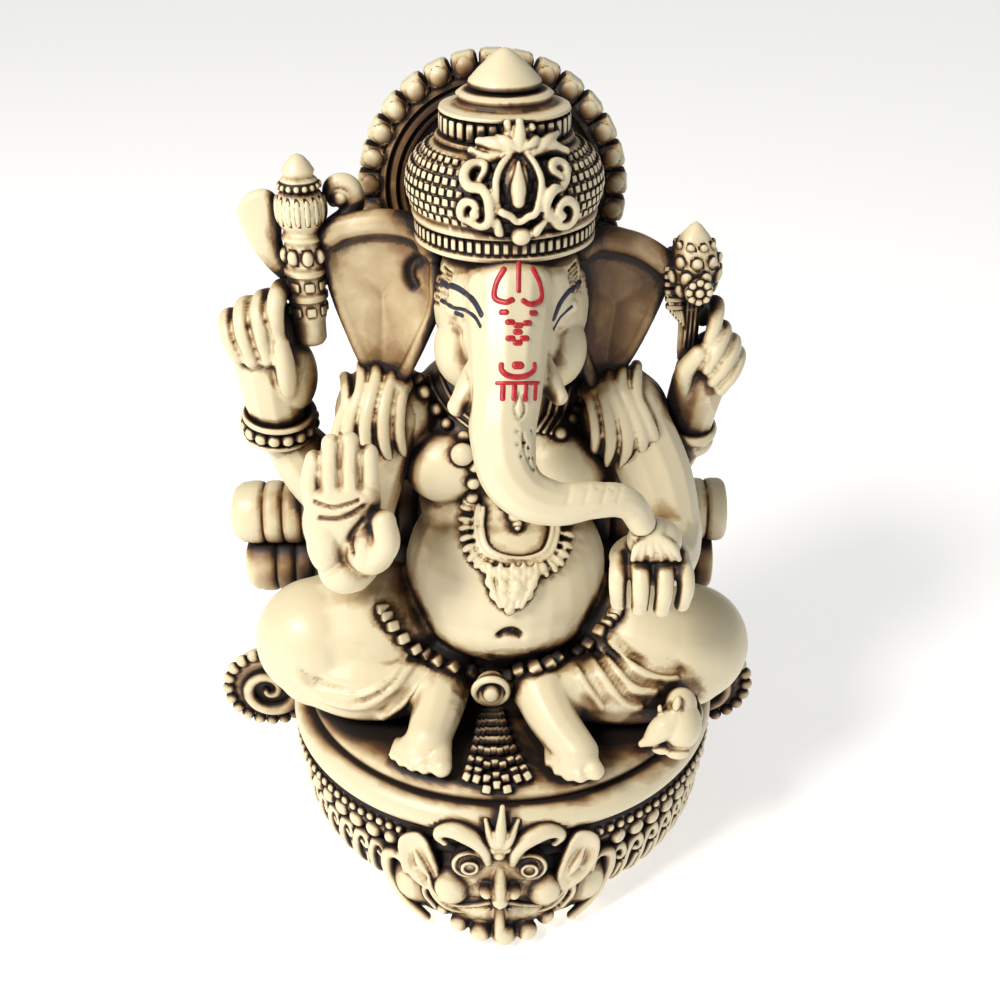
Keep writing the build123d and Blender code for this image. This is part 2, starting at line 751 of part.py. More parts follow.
def make_halo():
    """The round glory behind the crown: a plate and a border of petals."""
    centre = (crown_x - 2.0, crown_y + crown_radius + halo_thickness / 2 - 1.0, finial_low + finial_height - 4.2 - halo_radius - petal_radius)
    plate = disc(centre, (0, 1, 0), halo_radius, halo_thickness)
    plate = fillet(plate.edges().filter_by(GeomType.CIRCLE), halo_thickness * 0.2)
    stem_top = centre[2] - halo_radius * 0.6
    stem_low = seat_top + throne_height * 0.7
    stem_depth = throne_thickness * 0.8
    stem_y = centre[1] + halo_thickness / 2 + stem_depth / 2 - 1.0
    stem = Pos(centre[0], stem_y, (stem_top + stem_low) / 2) * Box(12.0, stem_depth, stem_top - stem_low)
    piece("halo_plate", plate + stem)
    step = degrees(2 * petal_radius / halo_radius) * 1.03
    count = int(360 / step)
    petals = []
    for i in range(count):
        angle = 2 * pi * i / count
        at = (centre[0] + halo_radius * sin(angle), centre[1], centre[2] + halo_radius * cos(angle))
        petals.append(disc(at, (0, 1, 0), petal_radius * 0.97, halo_thickness * 0.8))
    group("halo_petals", petals)
    return centre


# ---------------------------------------------------------------- jewellery
def torso_front(x, z):
    """How far forward the belly or the chest comes at a place."""
    fronts = []
    for y_mid, z_mid, half_x, half_y, half_z in (
        (belly_centre_y, belly_z, belly_radius, belly_radius, belly_half_height),
        (chest_y, chest_z, chest_half_width, chest_radius, chest_radius),
    ):
        inside = 1 - ((x - belly_centre_x) / half_x) ** 2 - ((z - z_mid) / half_z) ** 2
        if inside > 0:
            fronts.append(y_mid - half_y * sqrt(inside))
    return min(fronts)


def make_jewellery():
    """Strings of beads and a collar that lie on the chest, and a bead belt with its clasp and apron."""
    top_z = chest_z + chest_radius * 0.75
    low_z = belly_z + belly_half_height * 0.62
    count = int(1.2 * (top_z - low_z) / (2 * necklace_bead + necklace_gap))
    beads = []
    for side in (RIGHT, LEFT):
        for i in range(count):
            share = i / (count - 1)
            x = belly_centre_x + side * chest_half_width * (0.6 - 0.42 * share**2)
            z = top_z + (low_z - top_z) * share
            beads.append(ball((x, torso_front(x, z) - necklace_bead * 0.4, z), necklace_bead))
    group("bead_necklace", beads)
    collar_half = belly_radius * 0.36
    collar_low = belly_z + belly_half_height * 0.42
    turns = [pi * i / 8 for i in range(9)]
    route = []
    for turn in turns:
        x = belly_centre_x + 1.5 + collar_half * cos(turn)
        z = collar_low + collar_half * (1.15 - 1.15 * sin(turn))
        route.append((x, torso_front(x, z) - collar_wire * 0.4, z))
    pendant_z = collar_low - collar_wire - pendant_half_height * 0.8
    pendant_y = torso_front(belly_centre_x + 1.5, pendant_z) + 0.4
    pendant = spheroid((belly_centre_x + 1.5, pendant_y, pendant_z), (0, 0, 1), pendant_half_height, 3.2)
    piece("collar_pendant", rod_through(route, [collar_wire] * len(route)) + pendant)

    belt_radius = belly_radius * 0.88 + belt_bead * 0.5
    belt_z = belly_z - belly_half_height * 0.62
    clasp_y = belly_centre_y - belt_radius
    piece("belt_clasp", spheroid((belly_centre_x - 2.0, clasp_y, belt_z - 4.0), (0, 0, 1), 5.0, 3.2))
    count = int(radians(2 * belt_reach) * belt_radius / (2 * belt_bead + belt_gap))
    belt = []
    for i in range(count + 1):
        turn = radians(belt_reach * (2 * i / count - 1))
        x = belly_centre_x + belt_radius * sin(turn)
        y = belly_centre_y - belt_radius * cos(turn)
        belt.append(ball((x, y, belt_z + (1 - cos(turn)) * belt_lift), belt_bead))
    group("waist_beads", belt)
    apron = []
    apron_front = -(rim_radius - roll_radius)
    for row in range(apron_rows):
        share = row / (apron_rows - 1)
        for column in range(apron_columns):
            spread = (column - (apron_columns - 1) / 2) * (2 * apron_bead + 0.3)
            x = belly_centre_x - 2.0 + spread * (1 + 0.5 * share)
            y = clasp_y - 3.0 + share * (apron_front - clasp_y + 3.0)
            z = seat_top + apron_bead * 0.7 + (1 - share) ** 2 * 5.0
            apron.append(ball((x, y, z), apron_bead))
    group("bead_apron", apron)


def make_drapes():
    """Folds of the shawl round the top of each front arm."""
    folds = []
    for side, way in ((RIGHT, front_ways[RIGHT][0]), (LEFT, front_ways[LEFT][0])):
        top = shoulder(side, upper_arm_radius * 0.9)
        for i in range(3):
            folds.append(ring(moved(top, way, fold_wire * 2.0 * i), way, upper_arm_radius + fold_wire * 0.3, fold_wire))
    group("shawl_folds", folds)


# ---------------------------------------------------------------- assembly, from the floor up
make_pedestal()
make_cushion()
make_mask()
make_throne()
make_border()
make_torso()
make_legs()
make_mouse()
make_attributes(make_rear_arms())
sweet_centre = make_front_arms()
make_head(sweet_centre)
make_ears()
make_crown()
halo_centre = make_halo()
make_jewellery()
make_drapes()

# Dowels at the joints that carry weight, or that stand free
dowel((belly_centre_x, belly_centre_y + 4.0, seat_top - 1.0), (0, 0, 1), "seat_cushion", "torso")
dowel((0, 0, pedestal_top), (0, 0, 1), "pedestal", "seat_cushion")
dowel((head_x, head_y + 3.0, head_z + head_half_height * 0.95), (0, 0, 1), "head", "crown_band", "crown_cap")
dowel((crown_x, crown_y, crown_cap_top), (0, 0, 1), "crown_cap", "crown_tiers")
dowel((crown_x, crown_y, finial_low), (0, 0, 1), "crown_tiers", "crown_finial")
dowel((halo_centre[0], crown_y + crown_radius - 1.0, crown_cap_low + 6.0), (0, 1, 0), "crown_cap", "halo_plate")
dowel((0, -pedestal_radius, pedestal_bottom + pedestal_height * 0.45), (0, 1, 0), "pedestal", "lion_mask_face")
for throne_side in (RIGHT, LEFT):
    post_x = throne_centre_x + throne_side * throne_width * 0.35
    dowel((post_x, throne_front + throne_thickness / 2, seat_top), (0, 0, 1), "seat_cushion", "throne_back")
made["steel_dowels"] = dowels

os.makedirs("parts", exist_ok=True)
for node, solids in made.items():
    export_step(Compound(solids) if len(solids) > 1 else solids[0], f"parts/{node}.step")
print(len(made), "nodes,", sum(len(solids) for solids in made.values()), "solids")
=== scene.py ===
import math
import bpy
import numpy as np
from mathutils import Vector, Matrix
from mathutils.bvhtree import BVHTree


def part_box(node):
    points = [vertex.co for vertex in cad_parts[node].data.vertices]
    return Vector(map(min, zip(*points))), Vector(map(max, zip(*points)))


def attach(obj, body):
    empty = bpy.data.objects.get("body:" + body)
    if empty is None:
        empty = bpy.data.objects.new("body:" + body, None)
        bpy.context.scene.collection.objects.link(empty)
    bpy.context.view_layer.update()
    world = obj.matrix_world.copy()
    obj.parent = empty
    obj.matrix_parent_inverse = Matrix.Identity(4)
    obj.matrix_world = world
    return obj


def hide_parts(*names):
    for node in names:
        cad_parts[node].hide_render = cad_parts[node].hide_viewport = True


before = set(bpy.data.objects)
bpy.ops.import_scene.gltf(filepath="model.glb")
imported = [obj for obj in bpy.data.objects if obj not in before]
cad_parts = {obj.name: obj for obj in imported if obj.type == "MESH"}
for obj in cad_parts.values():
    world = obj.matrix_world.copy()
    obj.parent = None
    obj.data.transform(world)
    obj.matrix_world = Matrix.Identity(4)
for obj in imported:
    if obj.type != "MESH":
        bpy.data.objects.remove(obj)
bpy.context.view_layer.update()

mm = 0.001
collection = bpy.context.scene.collection
pieces = []
eye = Vector((-3.5, -235.0, 209.5))  # where the idol is looked at from
creaseAngle = 40  # degrees; sharper edges stay sharp


# small helpers

def nodeBox(node):
    # lowest corner, highest corner and middle of a CAD node, in millimetres
    low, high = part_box(node)
    return Vector(low) / mm, Vector(high) / mm, (Vector(low) + Vector(high)) / 2 / mm


def only(obs):
    bpy.ops.object.select_all(action="DESELECT")
    for ob in obs:
        ob.hide_set(False)
        ob.select_set(True)
    bpy.context.view_layer.objects.active = obs[0]


def applyMods(ob):
    only([ob])
    for mod in list(ob.modifiers):
        bpy.ops.object.modifier_apply(modifier=mod.name)


def template(make):
    # a primitive made once, whose mesh is copied for every part that repeats it
    make()
    ob = bpy.context.object
    mesh = ob.data
    bpy.data.objects.remove(ob)
    return mesh


def roundedBlock():
    bpy.ops.mesh.primitive_cube_add(size=2)
    bpy.ops.object.mode_set(mode="EDIT")
    bpy.ops.mesh.select_all(action="SELECT")
    bpy.ops.mesh.bevel(offset=0.45, segments=2, affect="EDGES")
    bpy.ops.object.mode_set(mode="OBJECT")


ballMesh = template(lambda: bpy.ops.mesh.primitive_uv_sphere_add(segments=28, ring_count=18, radius=1))
beadMesh = template(lambda: bpy.ops.mesh.primitive_uv_sphere_add(segments=14, ring_count=9, radius=1))
blockMesh = template(roundedBlock)


def aimed(direction, roll=0.0):
    # turns local +Z onto a direction
    turn = Vector(direction).normalized().to_track_quat("Z", "Y").to_matrix().to_4x4()
    return turn @ Matrix.Rotation(math.radians(roll), 4, "Z")


def put(mesh, at, size, along=(0, 0, 1), roll=0.0):
    if not hasattr(size, "__len__"):
        size = (size, size, size)
    copy = mesh.copy()
    scale = Matrix.Diagonal((size[0] * mm, size[1] * mm, size[2] * mm, 1))
    copy.transform(Matrix.Translation(Vector(at) * mm) @ aimed(along, roll) @ scale)
    ob = bpy.data.objects.new("part", copy)
    collection.objects.link(ob)
    return ob


def ball(at, size, along=(0, 0, 1)):
    return put(ballMesh, at, size, along)


def bead(at, size):
    return put(beadMesh, at, size)


def block(at, size, along=(0, 0, 1), roll=0.0):
    return put(blockMesh, at, size, along, roll)


def tube(points, radii, closed=False, steps=6):
    # a smooth tube through points, its radius set at each one; open ends are rounded
    if not hasattr(radii, "__len__"):
        radii = [radii] * len(points)
    curve = bpy.data.curves.new("tube", "CURVE")
    curve.dimensions = "3D"
    spline = curve.splines.new("BEZIER")
    spline.bezier_points.add(len(points) - 1)
    for knot, point, radius in zip(spline.bezier_points, points, radii):
        knot.co = Vector(point) * mm
        knot.radius = radius
        knot.handle_left_type = knot.handle_right_type = "AUTO"
    spline.use_cyclic_u = closed
    spline.resolution_u = steps
    spline.radius_interpolation = "CARDINAL"
    curve.bevel_depth = mm
    curve.bevel_resolution = 4
    curve.use_fill_caps = not closed
    ob = bpy.data.objects.new("part", curve)
    collection.objects.link(ob)
    only([ob])
    bpy.ops.object.convert(target="MESH")
    ob = bpy.context.object
    if not closed:
        ends = [ball(points[0], radii[0]), ball(points[-1], radii[-1])]
        ob = joined([ob, *ends])
    return ob


def joined(obs):
    if len(obs) > 1:
        only(obs)
        bpy.ops.object.join()
    return obs[0]


def smoothed(ob, angle=None):
    only([ob])
    if angle is None:
        bpy.ops.object.shade_smooth()
    else:
        bpy.ops.object.shade_smooth_by_angle(angle=math.radians(angle))
    return ob


def sculpt(parts, voxel, relax):
    # one skin over overlapping closed parts, then its creases are relaxed
    ob = joined(parts)
    mod = ob.modifiers.new("skin", "REMESH")
    mod.mode = "VOXEL"
    mod.voxel_size = voxel * mm
    mod = ob.modifiers.new("relax", "SMOOTH")
    mod.factor = 0.5
    mod.iterations = relax
    applyMods(ob)
    return smoothed(ob)


def leaf(outline, centre, thickness, rings):
    # a sheet of even thickness that runs from its centre out to an outline
    points = [Vector(p) for p in outline]
    centre = Vector(centre)
    mesh = bpy.data.meshes.new("leaf")
    verts, faces = [centre * mm], []
    count = len(points)
    for ring in range(1, rings + 1):
        share = ring / rings
        verts += [centre.lerp(p, share) * mm for p in points]
    for i in range(count):
        faces.append((0, 1 + i, 1 + (i + 1) % count))
    for ring in range(rings - 1):
        a, b = 1 + ring * count, 1 + (ring + 1) * count
        faces += [(a + i, b + i, b + (i + 1) % count, a + (i + 1) % count) for i in range(count)]
    mesh.from_pydata(verts, [], faces)
    ob = bpy.data.objects.new("part", mesh)
    collection.objects.link(ob)
    mod = ob.modifiers.new("body", "SOLIDIFY")
    mod.thickness = thickness * mm
    mod.offset = 0
    applyMods(ob)
    return ob


def spun(profile, steps, axis=(0, 0, 1), at=(0, 0, 0)):
    # a solid of revolution: profile is (radius, height) pairs; turned about an upright axis, then laid
    # along axis
    mesh = bpy.data.meshes.new("spun")
    mesh.from_pydata(
        [(r * mm, 0, z * mm) for r, z in profile], [(i, i + 1) for i in range(len(profile) - 1)], []
    )
    ob = bpy.data.objects.new("part", mesh)
    collection.objects.link(ob)
    only([ob])
    bpy.ops.object.mode_set(mode="EDIT")
    bpy.ops.mesh.select_all(action="SELECT")
    bpy.ops.mesh.spin(steps=steps, angle=math.tau, center=(0, 0, 0), axis=(0, 0, 1))
    bpy.ops.mesh.select_all(action="SELECT")
    bpy.ops.mesh.remove_doubles(threshold=0.00001)
    bpy.ops.mesh.normals_make_consistent(inside=False)
    bpy.ops.object.mode_set(mode="OBJECT")
    ob.data.transform(Matrix.Translation(Vector(at) * mm) @ aimed(axis))
    return smoothed(ob, creaseAngle)


def dense(profile, step):
    # more points along straight runs of a profile, so that the wash and the painted shade have somewhere to
    # sit
    out = [profile[0]]
    for a, b in zip(profile, profile[1:]):
        count = max(1, int(math.dist(a, b) / step))
        out += [
            (a[0] + (b[0] - a[0]) * i / count, a[1] + (b[1] - a[1]) * i / count)
            for i in range(1, count + 1)
        ]
    return out


def cutBehind(ob, y):
    only([ob])
    bpy.ops.object.mode_set(mode="EDIT")
    bpy.ops.mesh.select_all(action="SELECT")
    bpy.ops.mesh.bisect(plane_co=(0, y * mm, 0), plane_no=(0, 1, 0), use_fill=True, clear_outer=True)
    bpy.ops.object.mode_set(mode="OBJECT")
    return ob


def surface(ob):
    return BVHTree.FromObject(ob, bpy.context.evaluated_depsgraph_get())


def nearest(tree, points, lift=0.0):
    # moves points to the closest places on a surface; lift stands them off it
    out = []
    for point in points:
        hit, normal, _, _ = tree.find_nearest(Vector(point) * mm)
        out.append(hit / mm + normal * lift)
    return out


def dropped(trees, points, lift=0.0):
    # drops points onto the first surface met on a line from where the idol is looked at
    out = []
    for point in points:
        way = (Vector(point) - eye).normalized()
        best = None
        for tree in trees:
            hit, normal, _, gap = tree.ray_cast(eye * mm, way)
            if hit is not None and (best is None or gap < best[1]):
                best = (hit / mm + normal * lift, gap)
        out.append(best[0] if best else nearest(trees[0], [point], lift)[0])
    return out


def wrapped(points, radius):
    # the same, onto a drum of that radius round the pedestal's middle
    out = []
    for point in points:
        way = Vector(point) - eye
        a = way.x ** 2 + way.y ** 2
        b = 2 * (eye.x * way.x + eye.y * way.y)
        c = eye.x ** 2 + eye.y ** 2 - radius ** 2
        inside = max(b * b - 4 * a * c, 0)
        out.append(eye + way * ((-b - math.sqrt(inside)) / (2 * a)))
    return out


def through(points, count, closed=False):
    # even points along a smooth curve through a few
    pts = [Vector(p) for p in points]
    total = len(pts) if closed else len(pts) - 1
    out = []
    for k in range(count if closed else count + 1):
        t = k / count * total
        i = min(int(t), total - 1)
        f = t - i
        if closed:
            p0, p1, p2, p3 = (pts[(i + j) % len(pts)] for j in (-1, 0, 1, 2))
        else:
            p0, p1, p2, p3 = (pts[max(0, min(len(pts) - 1, i + j))] for j in (-1, 0, 1, 2))
        bend = 2 * p0 - 5 * p1 + 4 * p2 - p3
        twist = 3 * p1 - p0 - 3 * p2 + p3
        out.append(0.5 * ((2 * p1) + (p2 - p0) * f + bend * f * f + twist * f ** 3))
    return out


def carve(ob, lines, width, depth):
    # presses lines into the surface, or raises them where depth is below zero
    mesh = ob.data
    count = len(mesh.vertices)
    co = np.empty(count * 3, np.float32)
    no = np.empty(count * 3, np.float32)
    mesh.vertices.foreach_get("co", co)
    mesh.vertex_normals.foreach_get("vector", no)
    co, no = co.reshape(-1, 3) / mm, no.reshape(-1, 3)
    amount = np.zeros(count, np.float32)
    for line in lines:
        length = sum((Vector(b) - Vector(a)).length for a, b in zip(line, line[1:]))
        samples = through(line, max(4, int(length / (width * 0.5))))
        samples = np.array(samples, np.float32)
        low, high = samples.min(0) - 3 * width, samples.max(0) + 3 * width
        near = np.flatnonzero(((co > low) & (co < high)).all(1))
        if len(near) == 0:
            continue
        fade = np.minimum(1, np.minimum(np.arange(len(samples)) + 1, np.arange(len(samples))[::-1] + 1) / 3)
        for part in np.array_split(near, max(1, len(near) // 4000)):
            gap = ((co[part, None] - samples[None]) ** 2).sum(-1)
            best = gap.argmin(1)
            push = np.exp(-gap[np.arange(len(part)), best] / width ** 2) * fade[best]
            amount[part] = np.maximum(amount[part], push)
    co -= no * (amount * depth)[:, None]
    mesh.vertices.foreach_set("co", (co * mm).ravel())
    mesh.update()


def keep(ob, name, *nodes, slot="ivory_resin"):
    ob.name = name
    ob.data.name = name
    pieces.append(ob)
    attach(ob, "root")
    if nodes:
        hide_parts(*nodes)
    print("made", name, len(ob.data.polygons))
    return ob


# places taken from the CAD, in millimetres

crownLow = nodeBox("crown_band")[0].z
crownAxis = Vector((nodeBox("crown_band")[2].x, nodeBox("crown_band")[2].y, 0))
haloMid = nodeBox("halo_petals")[2]


# pedestal and seat

base = {"back": 25.0, "seatBack": 21.9, "steps": 260, "grain": 0.9}

drumProfile = [
    (0, 0.4), (36.6, 0.4), (37.6, 1.0), (39.6, 3.0), (41.4, 5.4), (42.6, 8.2), (43.0, 11.0), (42.9, 17.5),
    (43.3, 19.0), (44.3, 19.6), (44.6, 20.6), (44.2, 21.4), (43.6, 21.8), (43.7, 22.6), (44.6, 23.2),
    (44.9, 24.2), (44.5, 25.2), (43.4, 25.5), (0, 25.5),
]
drum = cutBehind(spun(dense(drumProfile, base["grain"]), base["steps"]), base["back"])
keep(drum, "pedestalDrum", "pedestal")


def seatRing(profile, count):
    # a ring of the seat: its profile rounded off, spun, and cut off at the throne
    rounded = [tuple(p[:2]) for p in through([(r, z, 0) for r, z in profile], count)]
    return cutBehind(spun(dense(rounded, base["grain"]), base["steps"]), base["seatBack"])


rollProfile = [
    (40.0, 25.5), (43.0, 25.5), (45.2, 26.2), (45.9, 28.0), (45.3, 30.0), (43.6, 31.4), (41.2, 31.8),
    (38.0, 31.8), (38.0, 25.5)
]
keep(seatRing(rollProfile, 40), "seatRoll", "seat_roll", "seat_cord")

cushionProfile = [
    (0, 31.0), (38.0, 31.0), (40.6, 31.2), (42.0, 32.2), (41.9, 33.7), (40.4, 34.9), (37.0, 35.5),
    (30.0, 35.7), (15.0, 35.6), (0, 35.5)
]
cushion = seatRing(cushionProfile, 60)
keep(cushion, "seatCushion", "seat_cushion")
print("pedestal done")


# torso and legs

body = {"voxel": 0.56, "relax": 4}


def finger(points, radius, tip=0.8):
    count = len(points)
    return tube(points, [radius * (1 - (1 - tip) * i / (count - 1)) for i in range(count)])


bodyParts = [
    ball((0.5, -5, 63.2), (20.6, 20.6, 19.0)),
    ball((0.5, -8.5, 58.5), (18.5, 17.0, 12.5)),
    ball((0.5, -1.5, 77), (17.5, 14.5, 13)),
    ball((0.5, -0.5, 89), (19.5, 12.5, 13)),
    ball((-10.5, -8.5, 88), (8.8, 6.6, 7.6)),
    ball((11.5, -8.5, 88), (8.8, 6.6, 7.6)),
    ball((-21.5, -3, 97.5), 9.0),
    ball((23.5, -3, 96.5), 9.0),
    ball((0.5, 1.0, 101), (17, 10, 8)),
    ball((0.5, 7, 82), (17, 8.5, 21)),
    tube([(0.5, 1, 96), (0.8, -2, 104), (1.0, -4, 112)], [12, 10, 10]),
    ball((0.5, 1, 47), (24, 17, 12.5)),
    ball((0.5, -3, 41), (22, 14, 7)),
]
rightLeg = [
    tube([(-12, -2, 46), (-26, -8, 49.5), (-38.5, -11.5, 49.5)], [11.5, 14.2, 12.6]),
    tube([(-38, -14, 45.5), (-27, -18.5, 44), (-15.5, -17.5, 43.5)], [9.5, 8.8, 6.8]),
]
leftLeg = [
    tube([(14, -3, 46), (27, -9, 48.5), (38.5, -12, 48)], [11.5, 13.6, 12.3]),
    tube([(38, -14.5, 44.5), (27, -20, 43.5), (12.5, -23, 44.5)], [9.0, 8.4, 6.4]),
]
rightFoot = [
    tube([(-12.3, -15.5, 45), (-13.2, -24, 42.2), (-15, -32, 39.3)], [6.4, 5.6, 4.6]),
    ball((-15.8, -33, 38.2), (5.6, 4.4, 2.9)),
    finger([(-12.6, -33, 38.6), (-12.3, -38.6, 38.0)], 2.25, 0.95),
    finger([(-15.4, -33.4, 38.2), (-15.6, -38.0, 37.4)], 1.55, 0.95),
    finger([(-17.6, -33.0, 38.0), (-18.0, -37.0, 37.2)], 1.45, 0.95),
    finger([(-19.4, -32.0, 37.8), (-20.1, -35.6, 37.1)], 1.35, 0.95),
    finger([(-21.0, -30.8, 37.6), (-21.8, -33.8, 37.0)], 1.25, 0.95),
]
leftFoot = [
    tube([(7.2, -25, 46), (10.0, -31, 42.8), (14.2, -36.5, 39.6)], [5.6, 4.9, 4.1]),
    ball((14.2, -37.2, 38.8), (4.2, 3.4, 2.8), (0.3, -0.5, 1)),
    finger([(15.5, -37.0, 39.0), (17.2, -40.4, 38.4)], 2.1, 0.95),
    finger([(13.0, -38.0, 38.4), (14.4, -41.2, 37.6)], 1.45, 0.95),
    finger([(11.2, -37.4, 38.2), (12.2, -40.4, 37.2)], 1.35, 0.95),
    finger([(9.8, -36.0, 38.2), (10.2, -38.9, 37.2)], 1.25, 0.95),
    finger([(8.8, -34.2, 38.2), (8.6, -36.8, 37.2)], 1.15, 0.95),
]
figure = sculpt([*bodyParts, *rightLeg, *leftLeg, *rightFoot, *leftFoot], body["voxel"], body["relax"])
keep(
    figure, "figureBody", "torso", "right_leg", "left_leg", "right_hem", "left_hem", "right_foot",
    "left_foot"
)
print("body done")


# arms and hands

arm = {"voxel": 0.36, "relax": 4}


def rearArm(shoulder, elbow, wrist):
    mid = [(a + b) / 2 for a, b in zip(shoulder, elbow)]
    low = [(a + b) / 2 for a, b in zip(elbow, wrist)]
    return [
        tube([shoulder, mid, elbow], [7.2, 7.2, 6.4]),
        tube([elbow, low, wrist], [6.4, 6.6, 4.9]),
    ]


rightRear = rearArm((-22, 3, 97), (-33.5, 3, 73.5), (-44.0, -1, 93.4))
rightRear += [
    tube([(-44.0, -1, 93), (-44.4, -2.0, 100), (-45.0, -2.4, 108)], [5.2, 6.0, 6.4]),
    ball((-44.6, -1.8, 112.0), (7.4, 4.6, 8.6)),
    ball((-40.6, -3.4, 105.6), (5.2, 4.2, 8.0)),
    finger([(-50.6, 0.0, 116.0), (-51.2, -5.4, 117.4), (-50.6, -8.4, 115.2), (-49.4, -8.4, 111.2)], 1.8),
    finger([(-47.6, 0.0, 118.2), (-48.0, -5.8, 119.6), (-47.8, -9.0, 117.0), (-46.7, -8.8, 110.8)], 1.95),
    finger([(-44.2, 0.0, 119.6), (-44.6, -5.8, 120.8), (-44.6, -9.2, 118.4), (-43.8, -8.8, 111.2)], 2.0),
    finger([(-40.8, 0.0, 121.4), (-41.0, -5.6, 123.0), (-41.5, -9.0, 121.0), (-41.7, -8.8, 116.2)], 2.0),
    finger([(-41.0, -5.0, 102), (-40.6, -8.2, 107.4), (-40.8, -9.2, 111.4), (-41.2, -9.2, 114.2)], 2.2),
]
leftRear = rearArm((24, 3, 96), (26.8, 3, 77.0), (36.6, 0, 91.0))
leftRear += [
    tube([(36.6, 0, 91), (37.2, -1.4, 98), (38.6, -2.2, 105)], [4.8, 5.2, 5.4]),
    ball((40.2, -1.8, 107.0), (5.2, 4.2, 6.4)),
    finger([(38.2, 0.5, 115.0), (39.8, -3.4, 119.4), (39.2, -6.8, 116.4), (38.2, -7.6, 112.6)], 1.7),
    finger([(41.0, 0.5, 112.0), (41.4, -4.6, 114.6), (39.8, -8.4, 112.0), (38.3, -8.6, 108.6)], 1.8),
    finger([(43.0, 0.5, 109.6), (43.4, -4.8, 112.0), (41.6, -8.6, 109.6), (39.5, -8.8, 106.2)], 1.8),
    finger([(44.0, 0.5, 107.2), (44.6, -4.8, 109.6), (43.2, -8.2, 107.4), (41.0, -8.6, 104.2)], 1.7),
    finger([(34.6, -2.6, 98), (34.0, -5.8, 103.6), (34.6, -7.4, 108.0), (36.6, -8.0, 111.2)], 2.3),
]
rightFront = [
    tube([(-22.5, -6, 98), (-26.5, -10, 86), (-29.0, -14, 75.5)], [7.4, 7.2, 6.4]),
    tube([(-29.0, -14, 75.5), (-29.6, -22, 74.8), (-29.6, -28, 77.5)], [6.4, 6.0, 5.2]),
    ball((-29.2, -29.0, 87.0), (7.6, 3.4, 9.4)),
    ball((-32.4, -29.8, 83.6), (3.8, 3.4, 6.4)),
    ball((-29.2, -29.4, 92.4), (7.2, 2.8, 3.6)),
    ball((-24.6, -30.8, 82.8), (4.7, 3.7, 5.0)),
    finger([(-34.2, -29.2, 90), (-34.6, -29.0, 96.4), (-33.7, -28.8, 100.4)], 2.0, 0.85),
    finger([(-30.9, -29.4, 91), (-31.1, -29.2, 98.4), (-30.5, -29.0, 103.6)], 2.1, 0.85),
    finger([(-27.5, -29.4, 91), (-27.5, -29.2, 98.6), (-27.2, -29.0, 104.0)], 2.1, 0.85),
    finger([(-24.3, -29.2, 90), (-24.1, -29.0, 96.6), (-24.0, -28.8, 101.6)], 2.0, 0.85),
    finger([(-24.0, -31.6, 81.6), (-21.4, -33, 85.6), (-21.6, -33.0, 90.0)], 3.0, 0.75),
]
leftFront = [
    tube([(24.5, -6, 97), (30.0, -11, 86), (32.6, -15, 76.5)], [7.4, 7.0, 6.2]),
    tube([(32.6, -15, 76.5), (31.0, -23, 76.0), (28.2, -29, 79.0)], [6.2, 5.8, 5.0]),
    ball((26.6, -31.0, 81.0), (7.6, 5.4, 4.6)),
    finger([(20.8, -33.4, 82.0), (20.2, -37.0, 79.4), (20.6, -36.2, 74.4)], 1.9),
    finger([(24.4, -34.0, 82.6), (24.2, -38.2, 79.6), (24.4, -37.0, 73.8)], 2.0),
    finger([(28.2, -34.0, 82.6), (28.4, -38.2, 79.6), (28.4, -37.0, 73.6)], 2.0),
    finger([(31.8, -33.2, 82.0), (32.4, -37.0, 79.2), (32.2, -36.0, 74.0)], 1.9),
]
for parts, name, *nodes in (
    (rightRear, "rearRightArm", "rear_right_upper_arm", "rear_right_forearm", "rear_right_hand"),
    (leftRear, "rearLeftArm", "rear_left_upper_arm", "rear_left_forearm", "rear_left_hand"),
    (rightFront, "frontRightArm", "front_right_upper_arm", "front_right_forearm", "blessing_hand"),
    (leftFront, "frontLeftArm", "front_left_upper_arm", "front_left_forearm", "sweet_hand"),
):
    keep(sculpt(parts, arm["voxel"], arm["relax"]), name, *nodes)
print("arms done")


# head, trunk and ears

headLook = {"voxel": 0.33, "relax": 5}
ear = {"voxel": 0.32, "relax": 3, "sheet": 2.4, "rim": 1.45, "lean": 2.2}

trunkLine = [
    (1.0, -17, 128), (0.6, -23.5, 121), (0.2, -29, 113.5), (-0.4, -34.0, 106.5), (1.6, -38.2, 100.4),
    (8.0, -39.0, 97.0), (15.4, -38.0, 97.0), (21.0, -36.6, 95.6), (24.0, -35.6, 91.0)
]
trunkRadii = [8.0, 7.2, 6.3, 5.7, 4.9, 4.0, 3.3, 2.9, 2.5]
headParts = [
    ball((1.4, -6, 121), (14.4, 14.5, 15.5)),
    ball((1.2, -9, 128), (12.6, 12.0, 9.5)),
    ball((-6.6, -12.5, 114.5), (6.2, 7.0, 7.5)),
    ball((9.0, -12.5, 114.5), (6.2, 7.0, 7.5)),
    ball((1.2, -12, 112), (9.5, 9.0, 7.0)),
    ball((1.3, -13.6, 125), (11.6, 8.6, 11.0)),
    ball((1.0, -17.0, 119), (8.6, 8.6, 9.0)),
    ball((-7.4, -16.4, 123.6), (3.2, 2.0, 1.9), (0, 0, 1)),
    ball((10.0, -16.4, 124.2), (3.2, 2.0, 1.9), (0, 0, 1)),
    tube(trunkLine, trunkRadii, steps=10),
    tube([(-3.4, -24, 115.5), (-6.0, -27.6, 113.2), (-8.2, -30, 111.2)], [3.4, 2.8, 1.8]),
    tube([(5.4, -23, 115.5), (8.0, -26, 113.2), (9.4, -27.6, 111.8)], [3.2, 2.4, 1.6]),
]
head = sculpt(headParts, headLook["voxel"], headLook["relax"])
keep(head, "headAndTrunk", "head", "trunk", "tusks")

